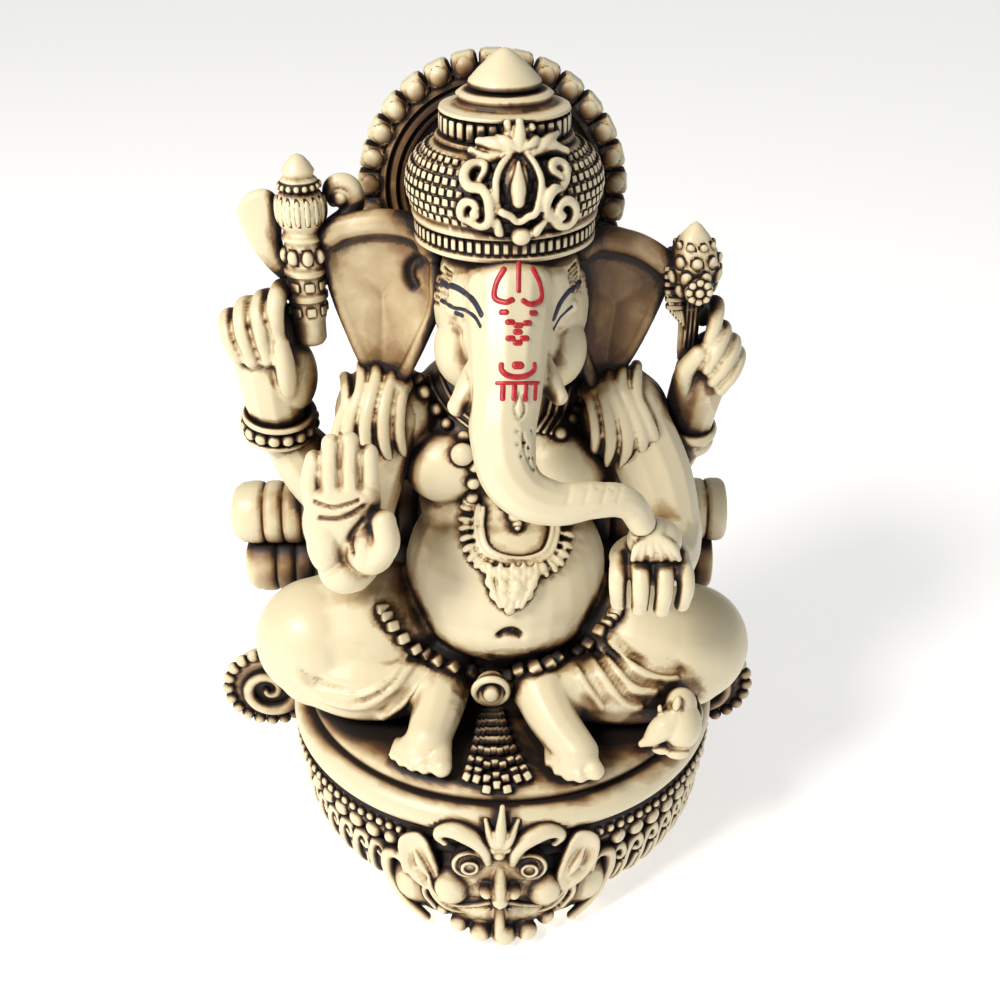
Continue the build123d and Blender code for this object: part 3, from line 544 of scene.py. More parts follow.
rightEarLine = [
    (-12.5, -4, 128), (-15, -3, 134.5), (-22, -2.5, 136.0), (-30, -2.0, 134.5), (-32.5, -2.0, 131.5),
    (-31.0, -3, 123), (-28.4, -4, 115), (-25.0, -5.5, 107), (-22.6, -6, 104.4), (-19.0, -6.5, 107),
    (-15.4, -7, 114), (-12.5, -6, 121),
]
leftEarLine = [
    (12.5, -4, 128), (17, -3, 132.6), (24, -2.5, 131.6), (29.6, -2.0, 128.0), (30.4, -2.0, 125.4),
    (28.0, -3, 119), (24.8, -4, 112), (21.0, -5.5, 106), (18.6, -6, 103.6), (16.4, -6.5, 107),
    (14.0, -7, 114), (12.6, -6, 121),
]
for line, name, cadNode in (
    (rightEarLine, "rightEarLeaf", "right_ear"), (leftEarLine, "leftEarLeaf", "left_ear")
):
    smooth = through(line, 60, closed=True)
    middle = sum(smooth, Vector()) / len(smooth)
    sheet = leaf(smooth, middle + Vector((0, ear["lean"], 0)), ear["sheet"], rings=10)
    rim = tube(smooth[::3], ear["rim"], closed=True)
    fold = tube(
        through(
            [(line[0][0], -5.5, line[0][2] + 1.5), *[(x, y - 1.6, z - 0.4) for x, y, z in line[1:5]]], 12
        ),
        [1.4, *[2.3] * 10, 1.9, 1.2]
    )
    lobe = tube(through([(x, y - 1.0, z) for x, y, z in line[7:] + line[:1]], 10), [0.9, *[1.25] * 9, 1.0])
    keep(sculpt([sheet, rim, fold, lobe], ear["voxel"], ear["relax"]), name, cadNode)
print("head done")


# crown

crown = {"bandPegs": 64, "tierPegs": 34, "knurl": 1.75, "steps": 160}
cx, cy = crownAxis.x, crownAxis.y
crownShape = [
    (0, 0), (15.2, 0), (16.1, 0.5), (16.2, 1.2), (15.5, 1.7), (15.4, 4.0),
    (16.3, 4.5), (16.5, 5.2), (15.9, 5.8), (16.6, 7.5), (17.2, 10.0),
    (16.8, 12.6), (15.2, 15.2), (12.6, 17.2), (11.8, 17.6), (12.2, 18.1),
    (11.9, 18.6), (10.6, 18.9), (10.4, 22.2), (11.4, 22.7), (11.2, 23.2),
    (8.4, 23.8), (8.0, 24.4), (8.4, 25.2), (7.6, 25.8), (5.6, 26.0),
    (6.4, 26.6), (6.2, 27.4), (4.6, 29.2), (2.4, 31.2), (1.0, 32.3), (0, 32.6),
]
crownProfile = [(out, crownLow + rise) for out, rise in crownShape]
crownBody = spun(dense(crownProfile, 0.5), crown["steps"], at=(cx, cy, 0))
crownParts = [crownBody]
for count, rise, radius, size in (
    (crown["bandPegs"], 2.9, 15.6, (0.5, 0.5, 1.05)), (crown["tierPegs"], 20.6, 10.7, (0.75, 0.7, 1.6))
):
    for i in range(count):
        a = math.tau * i / count
        out = Vector((math.sin(a), -math.cos(a), 0))
        spot = Vector((cx, cy, crownLow + rise)) + out * radius
        crownParts.append(block(spot, size, (0, 0, 1), math.degrees(a)))
rows = ((7.2, 16.5), (8.8, 17.0), (10.4, 17.2), (12.0, 17.0), (13.6, 16.4), (15.0, 15.4), (16.2, 14.0))
for k, (rise, radius) in enumerate(rows):
    count = int(math.tau * radius / crown["knurl"])
    for i in range(count):
        a = math.tau * (i + 0.5 * (k % 2)) / count
        out = Vector((math.sin(a), -math.cos(a), 0.05 + (k - 2) * 0.12))
        flat = Vector((math.sin(a), -math.cos(a), 0))
        spot = Vector((cx, cy, crownLow + rise)) + flat * (radius - 0.1)
        crownParts.append(block(spot, (0.62, 0.62, 0.45), out))
keep(joined(crownParts), "crownBody", "crown_band", "crown_cap", "crown_tiers", "crown_finial")
print("crown done")


# halo

halo = {"lobe": 2.45, "ring": 22.9, "count": 29, "steps": 180}
hx, hy, hz = haloMid.x, haloMid.y, haloMid.z
plateProfile = [
    (0, -1.6), (22.4, -1.6), (23.0, -0.6), (22.8, 1.2), (22.2, 2.0), (21.6, 1.2), (21.0, 2.1), (20.2, 2.2),
    (19.6, 1.2), (19.0, 1.9), (18.2, 1.9), (17.7, 0.9), (17.2, 1.4), (16.6, 1.3), (16.2, 0.5), (15.0, 0.5),
    (0, 0.5),
]
plate = spun(dense(plateProfile, 0.6), halo["steps"], axis=(0, -1, 0), at=(hx, hy, hz))
haloParts = [plate]
for i in range(halo["count"]):
    a = math.tau * i / halo["count"]
    out = Vector((math.sin(a), 0, math.cos(a)))
    spot = Vector((hx, hy, hz)) + out * halo["ring"]
    haloParts.append(block(spot, (halo["lobe"] * 0.98, halo["lobe"] * 0.98, halo["lobe"]), out))
    haloParts.append(ball(spot + Vector((0, -0.9, 0)), halo["lobe"] * 0.95))
keep(joined(haloParts), "haloPlate", "halo_plate", "halo_petals")
print("halo done")


# lion mask

lion = {"voxel": 0.27, "middle": -1.3, "earDrum": 46.4, "veinDrum": 46.2, "hookDrum": 46.0}

maskParts = [
    ball((-1.2, -38.5, 13.5), (15, 8.5, 10.5)), ball((-1.2, -41.0, 7.0), (12.5, 7.0, 6.2)),
    ball((-1.2, -43.5, 17.5), (9.5, 4.0, 7.0)),
    ball((-17.0, -36.4, 9.4), (7.0, 6.6, 8.8)), ball((14.6, -36.6, 9.4), (7.0, 6.6, 8.8)),
    ball((-1.2, -37.4, 4.6), (18.5, 8.0, 4.0)),
    ball((-10.4, -44.2, 12.9), (4.0, 3.6, 4.6)), ball((7.4, -44.2, 12.3), (4.0, 3.6, 4.6)),
    tube([(-1.1, -45.4, 21.4), (-1.1, -48.2, 16.0), (-1.1, -49.6, 13.6)], [1.1, 1.5, 1.7]),
    ball((-3.7, -48.2, 15.0), (2.3, 1.6, 1.2), (0.1, 0, 1)),
    ball((1.5, -48.2, 14.8), (2.3, 1.6, 1.2), (-0.1, 0, 1)),
    tube([(-1.1, -49.2, 13.6), (-1.2, -48.6, 10.8)], [1.5, 0.7]),
    tube([(-1.2, -46.4, 10.4), (-1.2, -48.4, 7.0), (-1.2, -49.0, 3.6)], [0.9, 1.1, 1.3]),
]
for spot, size in (
    ((-9.2, -46.2, 4.2), 2.0), ((-4.9, -47.6, 3.2), 2.3), ((-0.3, -48.2, 2.9), 2.5),
    ((4.2, -47.4, 3.0), 2.2), ((-12.2, -44.0, 6.2), 1.7), ((8.0, -45.0, 4.6), 1.9)
):
    maskParts.append(ball(spot, size))
for x, z in ((-7.0, 20.2), (4.6, 19.4)):
    maskParts.append(ball((x, -44.6, z), (3.3, 2.8, 3.3)))
    for radius, wire, y in ((3.0, 0.62, -46.4), (1.45, 0.42, -47.6)):
        ring = [
            (x + radius * math.cos(math.tau * k / 10), y, z + radius * math.sin(math.tau * k / 10))
            for k in range(10)
        ]
        maskParts.append(tube(ring, wire, closed=True))
browRight = [
    (-3.4, -46.4, 21.0), (-4.6, -46.6, 25.2), (-7.8, -46.0, 27.6), (-11.2, -45.0, 27.9),
    (-13.0, -44.4, 26.0), (-11.8, -44.8, 24.6)
]
browLeft = [
    (1.3, -46.4, 20.6), (2.6, -46.6, 25.0), (5.8, -46.0, 27.4), (9.2, -45.0, 27.5), (10.8, -44.4, 25.6),
    (9.6, -44.8, 24.2)
]
for line in (browRight, browLeft):
    maskParts.append(tube(line, [1.2, 1.7, 1.9, 1.6, 1.2, 0.9]))
keep(sculpt(maskParts, lion["voxel"], 2), "lionFace", "lion_mask_face", "lion_mask_eyes")


def besideNose(flip, points):
    # places on one side of the mask's middle, on the plane of its face
    return [(lion["middle"] + flip * x, -46, z) for x, z in points]


crestParts = [bead((-1.3, -46.8, 23.2), (1.5, 1.2, 1.5))]
for tip, bend in (
    ((-0.6, -44.6, 33.2), (-1.0, -47.2, 28.2)), ((-3.8, -45.2, 30.4), (-2.6, -46.9, 27.0)),
    ((2.4, -45.2, 30.2), (0.6, -46.9, 27.0)), ((-4.9, -45.4, 26.6), (-3.2, -46.4, 24.8)),
    ((2.9, -45.4, 26.4), (0.9, -46.4, 24.8))
):
    crestParts.append(tube([(-1.2, -46.4, 23.6), bend, tip], [0.8, 1.25, 0.55]))
for flip in (-1, 1):
    earLine = wrapped(
        besideNose(
            flip, [(18.6, 26.4), (15.2, 27.4), (13.0, 21.6), (11.6, 13.6), (15.4, 15.2), (18.4, 20.6)]
        ),
        lion["earDrum"]
    )
    edge = through(earLine, 40, closed=True)
    centre = sum(edge, Vector()) / len(edge)
    crestParts.append(leaf(edge, centre + Vector((0, 1.2, 0)), 1.5, rings=5))
    crestParts.append(tube(edge[::2], 0.75, closed=True))
    vein = wrapped(besideNose(flip, [(16.6, 24.6), (14.8, 20.0), (12.8, 15.6)]), lion["veinDrum"])
    crestParts.append(tube(vein, [0.5, 1.3, 0.5]))
    hook = [
        (lion["middle"] + flip * x, y, z)
        for x, y, z in (
            (18.4, -41.4, 14.0), (19.4, -40.9, 17.0), (21.4, -40.0, 17.4), (22.4, -39.2, 13.8),
            (21.2, -39.6, 9.4), (18.6, -41.2, 5.4), (14.8, -43.4, 2.6)
        )
    ]
    crestParts.append(tube(hook, [1.0, 1.1, 1.3, 1.4, 1.3, 1.2, 1.0]))
    second = wrapped(
        besideNose(
            flip, [(15.6, 16.4), (16.4, 18.4), (15.2, 19.4), (13.8, 17.8), (14.6, 12.4), (12.6, 8.6)]
        ),
        lion["hookDrum"]
    )
    crestParts.append(tube(second, 0.8))
    for drop in (0.0, 1.7):
        hair = [
            (lion["middle"] + flip * x, -47.6 + 0.22 * x, z - drop)
            for x, z in ((1.8, 10.6), (5.2, 9.2), (9.2, 8.8), (12.6, 11.4), (14.0, 15.6))
        ]
        crestParts.append(tube(hair, [0.6, 0.7, 0.7, 0.65, 0.5]))
keep(sculpt(crestParts, lion["voxel"], 1), "lionEarsCrest", "lion_mask_ears_crest")
print("lion done")


# pearls and scrolls round the drum

def roundDrum(make, angles):
    # one part made at the front, copied round the drum
    first = make()
    out = []
    for angle in angles:
        copy = bpy.data.objects.new("part", first.data.copy())
        copy.data.transform(Matrix.Rotation(math.radians(angle), 4, "Z"))
        collection.objects.link(copy)
        out.append(copy)
    bpy.data.objects.remove(first)
    return out


border = {"reach": 122, "pearl": 0.95, "cabochon": 1.95, "step": 6.1, "maskHalf": 27, "pearlHalf": 24}
drumAngles = [
    a for a in np.arange(-border["reach"], border["reach"] + 1, border["step"])
    if abs(a) > border["maskHalf"]
]
pearlAngles = [
    a for a in np.arange(-border["reach"], border["reach"], border["step"] / 2)
    if abs(a) > border["pearlHalf"]
]
pearls = roundDrum(lambda: ball((0, -45.0, 23.4), border["pearl"]), pearlAngles)
pearls += roundDrum(
    lambda: ball((0, -44.2, 19.6), (border["cabochon"], 1.5, border["cabochon"])), drumAngles
)
keep(smoothed(joined(pearls)), "pearlRow", "pearl_row")


def makeScroll():
    r = 43.4
    line = [
        (-2.4, 2.0, 38.8), (-2.3, 5.0, 41.4), (-1.9, 9.0, 43.0), (-1.2, 13.6, r), (0.6, 15.8, r),
        (2.2, 14.6, r), (1.7, 12.6, r), (0.5, 13.0, r)
    ]
    hook = tube([(u, -out, z) for u, z, out in line], [0.5, 0.7, 0.9, 1.15, 1.2, 1.1, 0.95, 0.8])
    stem = tube([(0.4, -39.4, 2.6), (1.0, -42.0, 6.6), (1.8, -r + 0.4, 10.2)], [0.5, 0.8, 0.9])
    return joined([hook, stem])


keep(smoothed(joined(roundDrum(makeScroll, drumAngles))), "scrollFrieze", "scroll_frieze")
print("border done")


# throne, bolsters and volutes

throne = {"ribGap": 4.5, "rib": 0.7, "bolsterBand": 4.1, "voluteBeads": 20}
low, high, mid = nodeBox("throne_back")
slab = block(mid, ((high.x - low.x) / 2, (high.y - low.y) / 2, (high.z - low.z) / 2))
ribs = [
    tube([(low.x + 4, y, z), (high.x - 4, y, z)], throne["rib"])
    for y in (low.y + 0.2, high.y - 0.2)
    for z in np.arange(low.z + 5, high.z - 3, throne["ribGap"])
]
keep(smoothed(joined([slab, *ribs]), creaseAngle), "throneBack", "throne_back")

for name, cadNode in (("lowerBolster", "lower_bolster"), ("upperBolster", "upper_bolster")):
    low, high, mid = nodeBox(cadNode)
    half, radius = (high.x - low.x) / 2, (high.z - low.z) / 2
    outline = [
        (0, -half), (radius * 0.45, -half + 0.1), (radius * 0.8, -half + 1.0), (radius * 0.96, -half + 2.6)
    ]
    z = -half + 3.6
    while z < half - 3.4:
        outline += [
            (radius * 0.97, z), (radius, z + 0.9), (radius, z + 2.4), (radius * 0.97, z + 3.2),
            (radius * 0.9, z + 3.7)
        ]
        z += throne["bolsterBand"]
    outline += [(radius * 0.8, half - 1.0), (radius * 0.45, half - 0.1), (0, half)]
    roll = spun(dense(outline, 0.9), 56, axis=(1, 0, 0), at=mid)
    keep(roll, name, cadNode)

for name, cadNode, flip in (("rightVolute", "right_volute", -1), ("leftVolute", "left_volute", 1)):
    low, high, mid = nodeBox(cadNode)
    radius = (high.z - low.z) / 2
    front = low.y + 1.0
    disc = spun(
        dense([(0, -2.6), (radius * 0.86, -2.6), (radius * 0.9, 0), (radius * 0.82, 1.2), (0, 1.2)], 0.6),
        72, axis=(0, -1, 0), at=(mid.x, front + 2.4, mid.z)
    )
    curl = [
        (
            mid.x + flip * radius * (0.7 - 0.62 * k / 18) * math.cos(k * 0.52 + 2.4), front + 0.6,
            mid.z + radius * (0.7 - 0.62 * k / 18) * math.sin(k * 0.52 + 2.4)
        )
        for k in range(19)
    ]
    parts = [disc, tube(curl, [1.75 - 0.05 * k for k in range(19)])]
    for a in np.linspace(0, math.tau, throne["voluteBeads"], endpoint=False):
        spot = (mid.x + radius * 0.9 * math.cos(a), front + 1.3, mid.z + radius * 0.9 * math.sin(a))
        parts.append(bead(spot, (1.5, 1.3, 1.5)))
    keep(smoothed(joined(parts), creaseAngle), name, cadNode)
print("throne done")


# folds of the shawl over the shoulders

shawl = {
    "voxel": 0.33, "relax": 1,
    "radii": [0.8, 1.1, 1.2, 1.3, 1.4, 1.45, 1.45, 1.45, 1.4, 1.35, 1.2, 1.0, 0.8],
}
bodyTree = surface(figure)
seatTree = surface(cushion)
drapes = {
    "right": ((-24.2, -5.0, 97.4), (8.8, 10.2, 10.4)), "left": ((23.2, -4.6, 96.6), (9.0, 10.0, 10.6))
}
foldLines = {
    "right": [
        [(-17.8, -12, 109.6), (-19.4, -14, 104.0), (-19.8, -14, 98.0), (-18.8, -14, 93.0)],
        [(-20.4, -12, 109.4), (-22.2, -14, 103.4), (-22.6, -14, 97.2), (-21.6, -14, 91.8)],
        [(-23.6, -12, 108.0), (-25.4, -15, 101.8), (-25.6, -15, 96.2), (-24.4, -15, 91.4)],
        [(-26.6, -12, 105.4), (-28.4, -14, 100.1), (-28.6, -14, 96.0), (-27.2, -14, 92.0)],
        [(-29.4, -11, 102.0), (-31.0, -13, 97.8), (-30.8, -14, 94.6)],
    ],
    "left": [
        [(14.0, -11, 109.5), (16.4, -14, 104.8), (17.6, -14, 97.8), (16.8, -14, 93.0)],
        [(16.8, -11, 109.0), (19.4, -14, 103.4), (20.4, -14, 96.4), (19.6, -14, 91.4)],
        [(19.6, -11, 107.0), (22.4, -14, 101.2), (23.4, -14, 95.2), (22.4, -14, 90.8)],
        [(22.4, -10, 105.0), (25.2, -14, 99.2), (26.2, -14, 94.2), (25.2, -14, 90.6)],
        [(25.2, -10, 102.6), (27.8, -14, 97.4), (28.8, -14, 93.0), (27.8, -14, 90.6)],
    ],
}
folds = []
for side, (centre, size) in drapes.items():
    cloth = ball(centre, size)
    clothTree = surface(cloth)
    folds.append(put(ballMesh, centre, [v - 0.5 for v in size]))
    for line in foldLines[side]:
        spots = dropped([clothTree], through(line, 9))
        back = nearest(
            clothTree,
            [
                spots[0] + Vector((0, 4, 2.5)), spots[0] + Vector((0, 9, 1.0)),
                spots[0] + Vector((0, 14, -5.0))
            ]
        )
        folds.append(tube([*reversed(back), *spots], shawl["radii"]))
    bpy.data.objects.remove(cloth)
keep(sculpt(folds, shawl["voxel"], shawl["relax"]), "shawlFolds", "shawl_folds")
print("shawl done")


# jewellery

def string(line, size, gap, trees, lift):
    # beads strung along a line laid on the surface
    length = sum((Vector(b) - Vector(a)).length for a, b in zip(line, line[1:]))
    count = max(3, int(length / (2 * size + gap)))
    return [bead(spot, size) for spot in dropped(trees, through(line, count), lift)]


necklaceParts = []
outerRight = [
    (-15.7, -22, 112.3), (-14.3, -22, 108.9), (-11.1, -22, 104.6), (-7.2, -22, 100.9), (-5.6, -24, 98.4),
    (-5.9, -26, 95.4), (-6.2, -26, 91.6)
]
outerLeft = [(13.4, -20, 109.4), (12.6, -20, 106.1), (12.0, -20, 103.6), (10.4, -20, 100.2)]
for line in (outerRight, outerLeft):
    necklaceParts += string(line, 1.3, 0.35, [bodyTree], 0.8)
for step in (2.6, 4.6, 6.4):
    cord = dropped(
        [bodyTree], through([(x + step, y, z + step * 0.2) for x, y, z in outerRight[:6]], 14), 0.45
    )
    necklaceParts.append(tube(cord, 0.5))
    cord = dropped(
        [bodyTree], through([(x - step * 0.7, y, z + step * 0.2) for x, y, z in outerLeft], 8), 0.45
    )
    necklaceParts.append(tube(cord, 0.5))
necklaceParts += string(
    [(-3.2, -26, 96.6), (-1.6, -26, 92.0), (0.2, -26, 88.6), (1.8, -26, 87.4)], 0.8, 0.3, [bodyTree], 0.6
)
necklaceParts += string([(1.8, -26, 87.4), (4.2, -26, 88.8), (6.6, -26, 92.0)], 0.8, 0.3, [bodyTree], 0.6)
big = dropped([bodyTree], [(-7.8, -25, 99.0)], 1.2)[0]
necklaceParts.append(ball(big, (2.3, 1.8, 2.3)))
drop = dropped([bodyTree], [(1.9, -26, 87.2), (2.2, -26, 85.0), (2.3, -26, 83.8)], 1.0)
necklaceParts += [ball(drop[0], 1.5), ball(drop[1], (1.0, 1.0, 1.3)), ball(drop[2], 0.6)]
keep(smoothed(joined(necklaceParts)), "beadNecklace", "bead_necklace")

collarLine = [
    (-4.8, -26, 89.4), (-5.1, -26, 83.9), (-3.8, -26, 79.0), (0.0, -26, 76.7), (4.3, -26, 76.4),
    (8.0, -26, 78.2), (9.5, -26, 82.6), (9.4, -26, 89.3)
]
middleOf = Vector((2.2, -26, 84.5))
collarParts = []
for spread, wire in ((1.0, 0.62), (0.86, 0.62)):
    line = [middleOf + (Vector(p) - middleOf) * spread for p in collarLine]
    collarParts.append(tube(dropped([bodyTree], through(line, 26), 0.5), wire))
pegLine = through([middleOf + (Vector(p) - middleOf) * 1.25 for p in collarLine], 22)
for spot, inner in zip(
    dropped([bodyTree], pegLine, 0.7), dropped([bodyTree], through(collarLine, 22), 0.5)
):
    collarParts.append(ball(spot, (0.85, 0.85, 1.5), spot - inner))
fan = [
    (-3.2, 75.6, 1.5), (-1.4, 74.4, 1.7), (0.4, 74.2, 1.7), (2.2, 74.2, 1.8), (4.2, 74.4, 1.7),
    (6.4, 75.4, 1.5), (-2.2, 72.4, 1.6), (0.0, 71.6, 1.9), (2.2, 71.4, 2.0), (4.6, 72.0, 1.7),
    (-1.6, 69.8, 1.4), (0.4, 68.8, 1.7), (2.6, 68.8, 1.6), (4.2, 69.8, 1.4), (0.9, 66.8, 1.4),
    (1.8, 70.0, 1.9)
]
for x, z, size in fan:
    spot = dropped([bodyTree], [(x, -26, z)], 0.3 + 0.35 * size)[0]
    collarParts.append(ball(spot, (size * 0.8, size * 0.8, size * 1.05), (0.25 * (x - 1.5), -0.4, 1)))
for x, tip in ((-2.6, -4.0), (-0.6, -1.6), (1.4, 1.2), (3.4, 4.2), (5.4, 6.4)):
    rib = dropped(
        [bodyTree],
        through(
            [(x, -26, 76.0), ((x + tip) / 2 * 0.8 + 0.3, -26, 72.6), (1.2 + (tip - 1.2) * 0.35, -26, 67.6)],
            6
        ),
        1.7
    )
    collarParts.append(tube(rib, [0.5, 0.7, 0.75, 0.75, 0.7, 0.6, 0.5]))
keep(sculpt(collarParts, 0.26, 1), "collarPendant", "collar_pendant")

beltLine = [
    (-24.0, -20, 62.0), (-22.0, -20, 57.6), (-17.2, -20, 52.0), (-11.6, -20, 48.2), (-5.0, -20, 46.2),
    (1.0, -20, 46.0), (7.0, -20, 47.2), (11.9, -20, 49.6), (16.5, -20, 53.0), (20.6, -20, 58.7),
    (22.4, -20, 61.4)
]
figureTrees = [bodyTree, seatTree]
beltSpots = dropped(figureTrees, through(beltLine, 22), 0.9)
keep(
    smoothed(
        joined([block(spot, (1.25, 1.1, 1.25), spot - Vector((0.5, -5, 55)), 30) for spot in beltSpots])
    ),
    "waistBeads", "waist_beads"
)

claspAt = Vector((-2.6, -26.4, 47.6))
claspUp = Vector((0, -0.35, 1)).normalized()
ringLine = [
    claspAt + Vector((3.3 * math.cos(a), 0, 0)) + claspUp * 4.3 * math.sin(a) + Vector((0, -1.0, 0))
    for a in np.linspace(0, math.tau, 16, endpoint=False)
]
claspParts = [
    ball(claspAt, (3.3, 1.5, 4.3), (0, 0, 1)), ball(claspAt + Vector((0, -1.3, 0)), (1.8, 1.3, 2.4)),
    tube(ringLine, 0.75, closed=True)
]
keep(sculpt(claspParts, 0.26, 1), "beltClasp", "belt_clasp")

apron = {"strands": 7, "gaps": 8}
apronParts = []
for strand in range(apron["strands"]):
    share = strand / (apron["strands"] - 1) * 2 - 1
    bottom = 31.2 + 3.2 * share ** 2 + 1.2 * (strand % 2)
    line = [
        (-2.8 + 1.8 * share, -30, 44.0), (-2.4 + 3.0 * share, -34, 40.0), (-1.6 + 5.6 * share, -38, bottom)
    ]
    for k, spot in enumerate(dropped(figureTrees, through(line, apron["gaps"]), 0.75)):
        high = 0.95 if k < apron["gaps"] - 2 else 1.35
        apronParts.append(block(spot, (0.85, 0.8, high), (share * 0.4, -0.8, 0.6), 15 * share))
keep(smoothed(joined(apronParts)), "beadApron", "bead_apron")
print("jewellery done")


# bracelets

def band(centre, axis, radius, rows):
    # rings round the wrist: plain cords and, between them, beads
    turn = aimed(axis)
    out = []
    for rise, wire, count in rows:
        spots = [
            turn @ Vector((radius * math.cos(a), radius * 0.86 * math.sin(a), rise)) + Vector(centre)
            for a in np.linspace(0, math.tau, count or 18, endpoint=False)
        ]
        if count:
            out += [bead(spot, wire) for spot in spots]
        else:
            out.append(tube(spots, wire, closed=True))
    return out


rightBand = band(
    (-43.8, -1.6, 94.6), (0.10, -0.25, 1), 6.6, ((-2.2, 0.7, 0), (0.0, 1.35, 16), (2.2, 0.7, 0))
)
keep(smoothed(joined(rightBand)), "rightBracelet", "rear_right_bracelet")
leftBand = band((35.8, -0.8, 92.2), (0.30, -0.25, 1), 6.0, ((-1.2, 1.5, 0), (1.3, 1.2, 0)))
keep(sculpt(leftBand, 0.3, 2), "leftBracelet", "rear_left_bracelet")


# goad

goad = {"flutes": 16, "studs": 8, "bladeThick": 2.6, "voxel": 0.3, "relax": 2}
goadAxis = Vector((-36.3, -3.4, 0))
goadProfile = [
    (0, 112), (2.6, 112.2), (3.1, 113), (3.1, 116.6), (3.4, 117.6), (3.4, 120.8), (3.9, 121.2), (3.9, 122),
    (3.4, 122.4), (3.4, 125.6), (3.9, 126), (3.9, 126.8), (3.4, 127.2), (3.4, 132), (3.9, 132.6),
    (3.3, 134), (4.2, 135.4), (4.7, 137.4), (4.6, 139.4), (3.8, 140.8), (3.1, 141.4), (3.7, 142.2),
    (3.3, 143.2), (2.6, 143.8), (2.9, 144.8), (2.2, 146.0), (1.2, 147.2), (0, 147.8)
]
goadParts = [spun(dense(goadProfile, 0.6), 48, at=goadAxis)]
for k in range(goad["flutes"]):
    a = math.tau * k / goad["flutes"]
    out = Vector((math.sin(a), -math.cos(a), 0))
    goadParts.append(ball(goadAxis + out * 4.1 + Vector((0, 0, 138.0)), (0.75, 0.75, 2.4)))
    goadParts.append(bead(goadAxis + out * 3.5 + Vector((0, 0, 142.2)), 0.6))
for k in range(goad["studs"]):
    a = math.tau * k / goad["studs"] + 0.3
    out = Vector((math.sin(a), -math.cos(a), 0))
    goadParts += [
        block(goadAxis + out * 3.3 + Vector((0, 0, z)), (0.9, 0.9, 0.5), out)
        for z in (119.2, 124.0)
    ]
    goadParts += [ball(goadAxis + out * 3.3 + Vector((0, 0, 129.6)), (1.1, 1.1, 1.6))]
keep(smoothed(joined(goadParts), creaseAngle), "goadShaft", "goad_shaft")

bladeLine = through(
    [
        (-41.2, -1.5, 131.0), (-41.0, -1.5, 136.8), (-42.2, -1.5, 139.8), (-45.2, -1.5, 139.4),
        (-47.2, -1.5, 136.8), (-46.4, -1.5, 133.2), (-44.6, -1.5, 129.4), (-41.8, -1.5, 125.6),
        (-39.8, -1.5, 124.8)
    ],
    48, closed=True
)
bladeMid = sum(bladeLine, Vector()) / len(bladeLine)
bladeParts = [
    leaf(bladeLine, bladeMid + Vector((0, -0.6, 0)), goad["bladeThick"], rings=6),
    tube(bladeLine[::2], 0.9, closed=True)
]
hook = [
    (-33.6, -2.4, 131.0), (-31.0, -1.4, 133.4), (-27.8, -0.4, 136.2), (-26.9, -0.2, 139.4),
    (-28.8, -0.2, 141.6), (-31.2, -0.4, 140.4), (-30.6, -0.6, 138.4)
]
bladeParts += [tube(hook, [2.0, 2.2, 2.0, 1.9, 1.8, 1.5, 1.2]), ball((-29.4, -1.6, 139.0), (1.6, 1.2, 1.6))]
keep(sculpt(bladeParts, goad["voxel"], goad["relax"]), "goadBlades", "goad_blades")


# lotus club

club = {"petals": 9, "rosette": 8, "pegs": 5, "grooves": 3}
clubAxis = Vector((35.0, -3.2, 0))
clubProfile = [
    (0, 108), (1.7, 108.2), (1.9, 110), (2.0, 118), (2.6, 119), (2.0, 119.8), (3.0, 121.6), (4.4, 124),
    (4.9, 127), (4.2, 130), (2.6, 132.6), (1.1, 134.4), (0, 135.2)
]
clubParts = [spun(dense(clubProfile, 0.6), 40, at=clubAxis)]
for row, (z, radius, size) in enumerate(
    ((123.0, 3.9, 1.5), (125.6, 4.7, 1.6), (128.2, 4.3, 1.5), (130.6, 3.2, 1.3))
):
    for k in range(club["petals"]):
        a = math.tau * (k + 0.5 * (row % 2)) / club["petals"]
        out = Vector((math.sin(a), -math.cos(a), 0))
        clubParts.append(
            ball(
                clubAxis + out * radius + Vector((0, 0, z)), (size * 0.75, size * 0.55, size),
                out * 0.4 + Vector((0, 0, 1))
            )
        )
for k in range(club["pegs"]):
    clubParts.append(
        tube(
            [(30.4 + 0.55 * k, -5.2, 119.4 - 0.6 * k + 3.2), (31.4 + 0.55 * k, -5.6, 118.6 - 0.6 * k)],
            [0.7, 0.5]
        )
    )
for z in np.arange(119.6, 127.6, 1.5):
    clubParts.append(block((31.2 + (125 - z) * 0.12, -5.2, z), (1.7, 0.9, 0.55)))
clubParts += [ball((35.6, -8.0, 123.6), (2.6, 1.1, 2.6)), ball((35.6, -9.1, 123.6), (0.9, 0.7, 0.9))]
for k in range(club["rosette"]):
    a = math.tau * k / club["rosette"]
    clubParts.append(ball((35.6 + 1.75 * math.cos(a), -8.9, 123.6 + 1.75 * math.sin(a)), (0.75, 0.5, 0.75)))
for k in range(club["grooves"]):
    clubParts.append(tube([(34.2 + 0.8 * k, -5.3, 111.5), (34.2 + 0.8 * k, -5.4, 121)], 0.32))
keep(smoothed(joined(clubParts), 50), "lotusClub", "lotus_club")


# sweet and mouse

sweetParts = [ball((26.8, -33.2, 85.8), (5.0, 4.2, 4.4)), ball((25.4, -34.4, 88.4), (3.4, 3.0, 3.0))]
for k in range(6):
    a = -1.0 + k * 0.4
    sweetParts.append(
        tube(
            [
                (25.2, -36.4, 89.6), (26.4 + 3.6 * math.sin(a), -37.2, 87.0),
                (26.8 + 4.8 * math.sin(a), -36.6, 84.0)
            ],
            [0.5, 0.8, 0.6]
        )
    )
keep(sculpt(sweetParts, 0.28, 2), "sweet", "sweet")

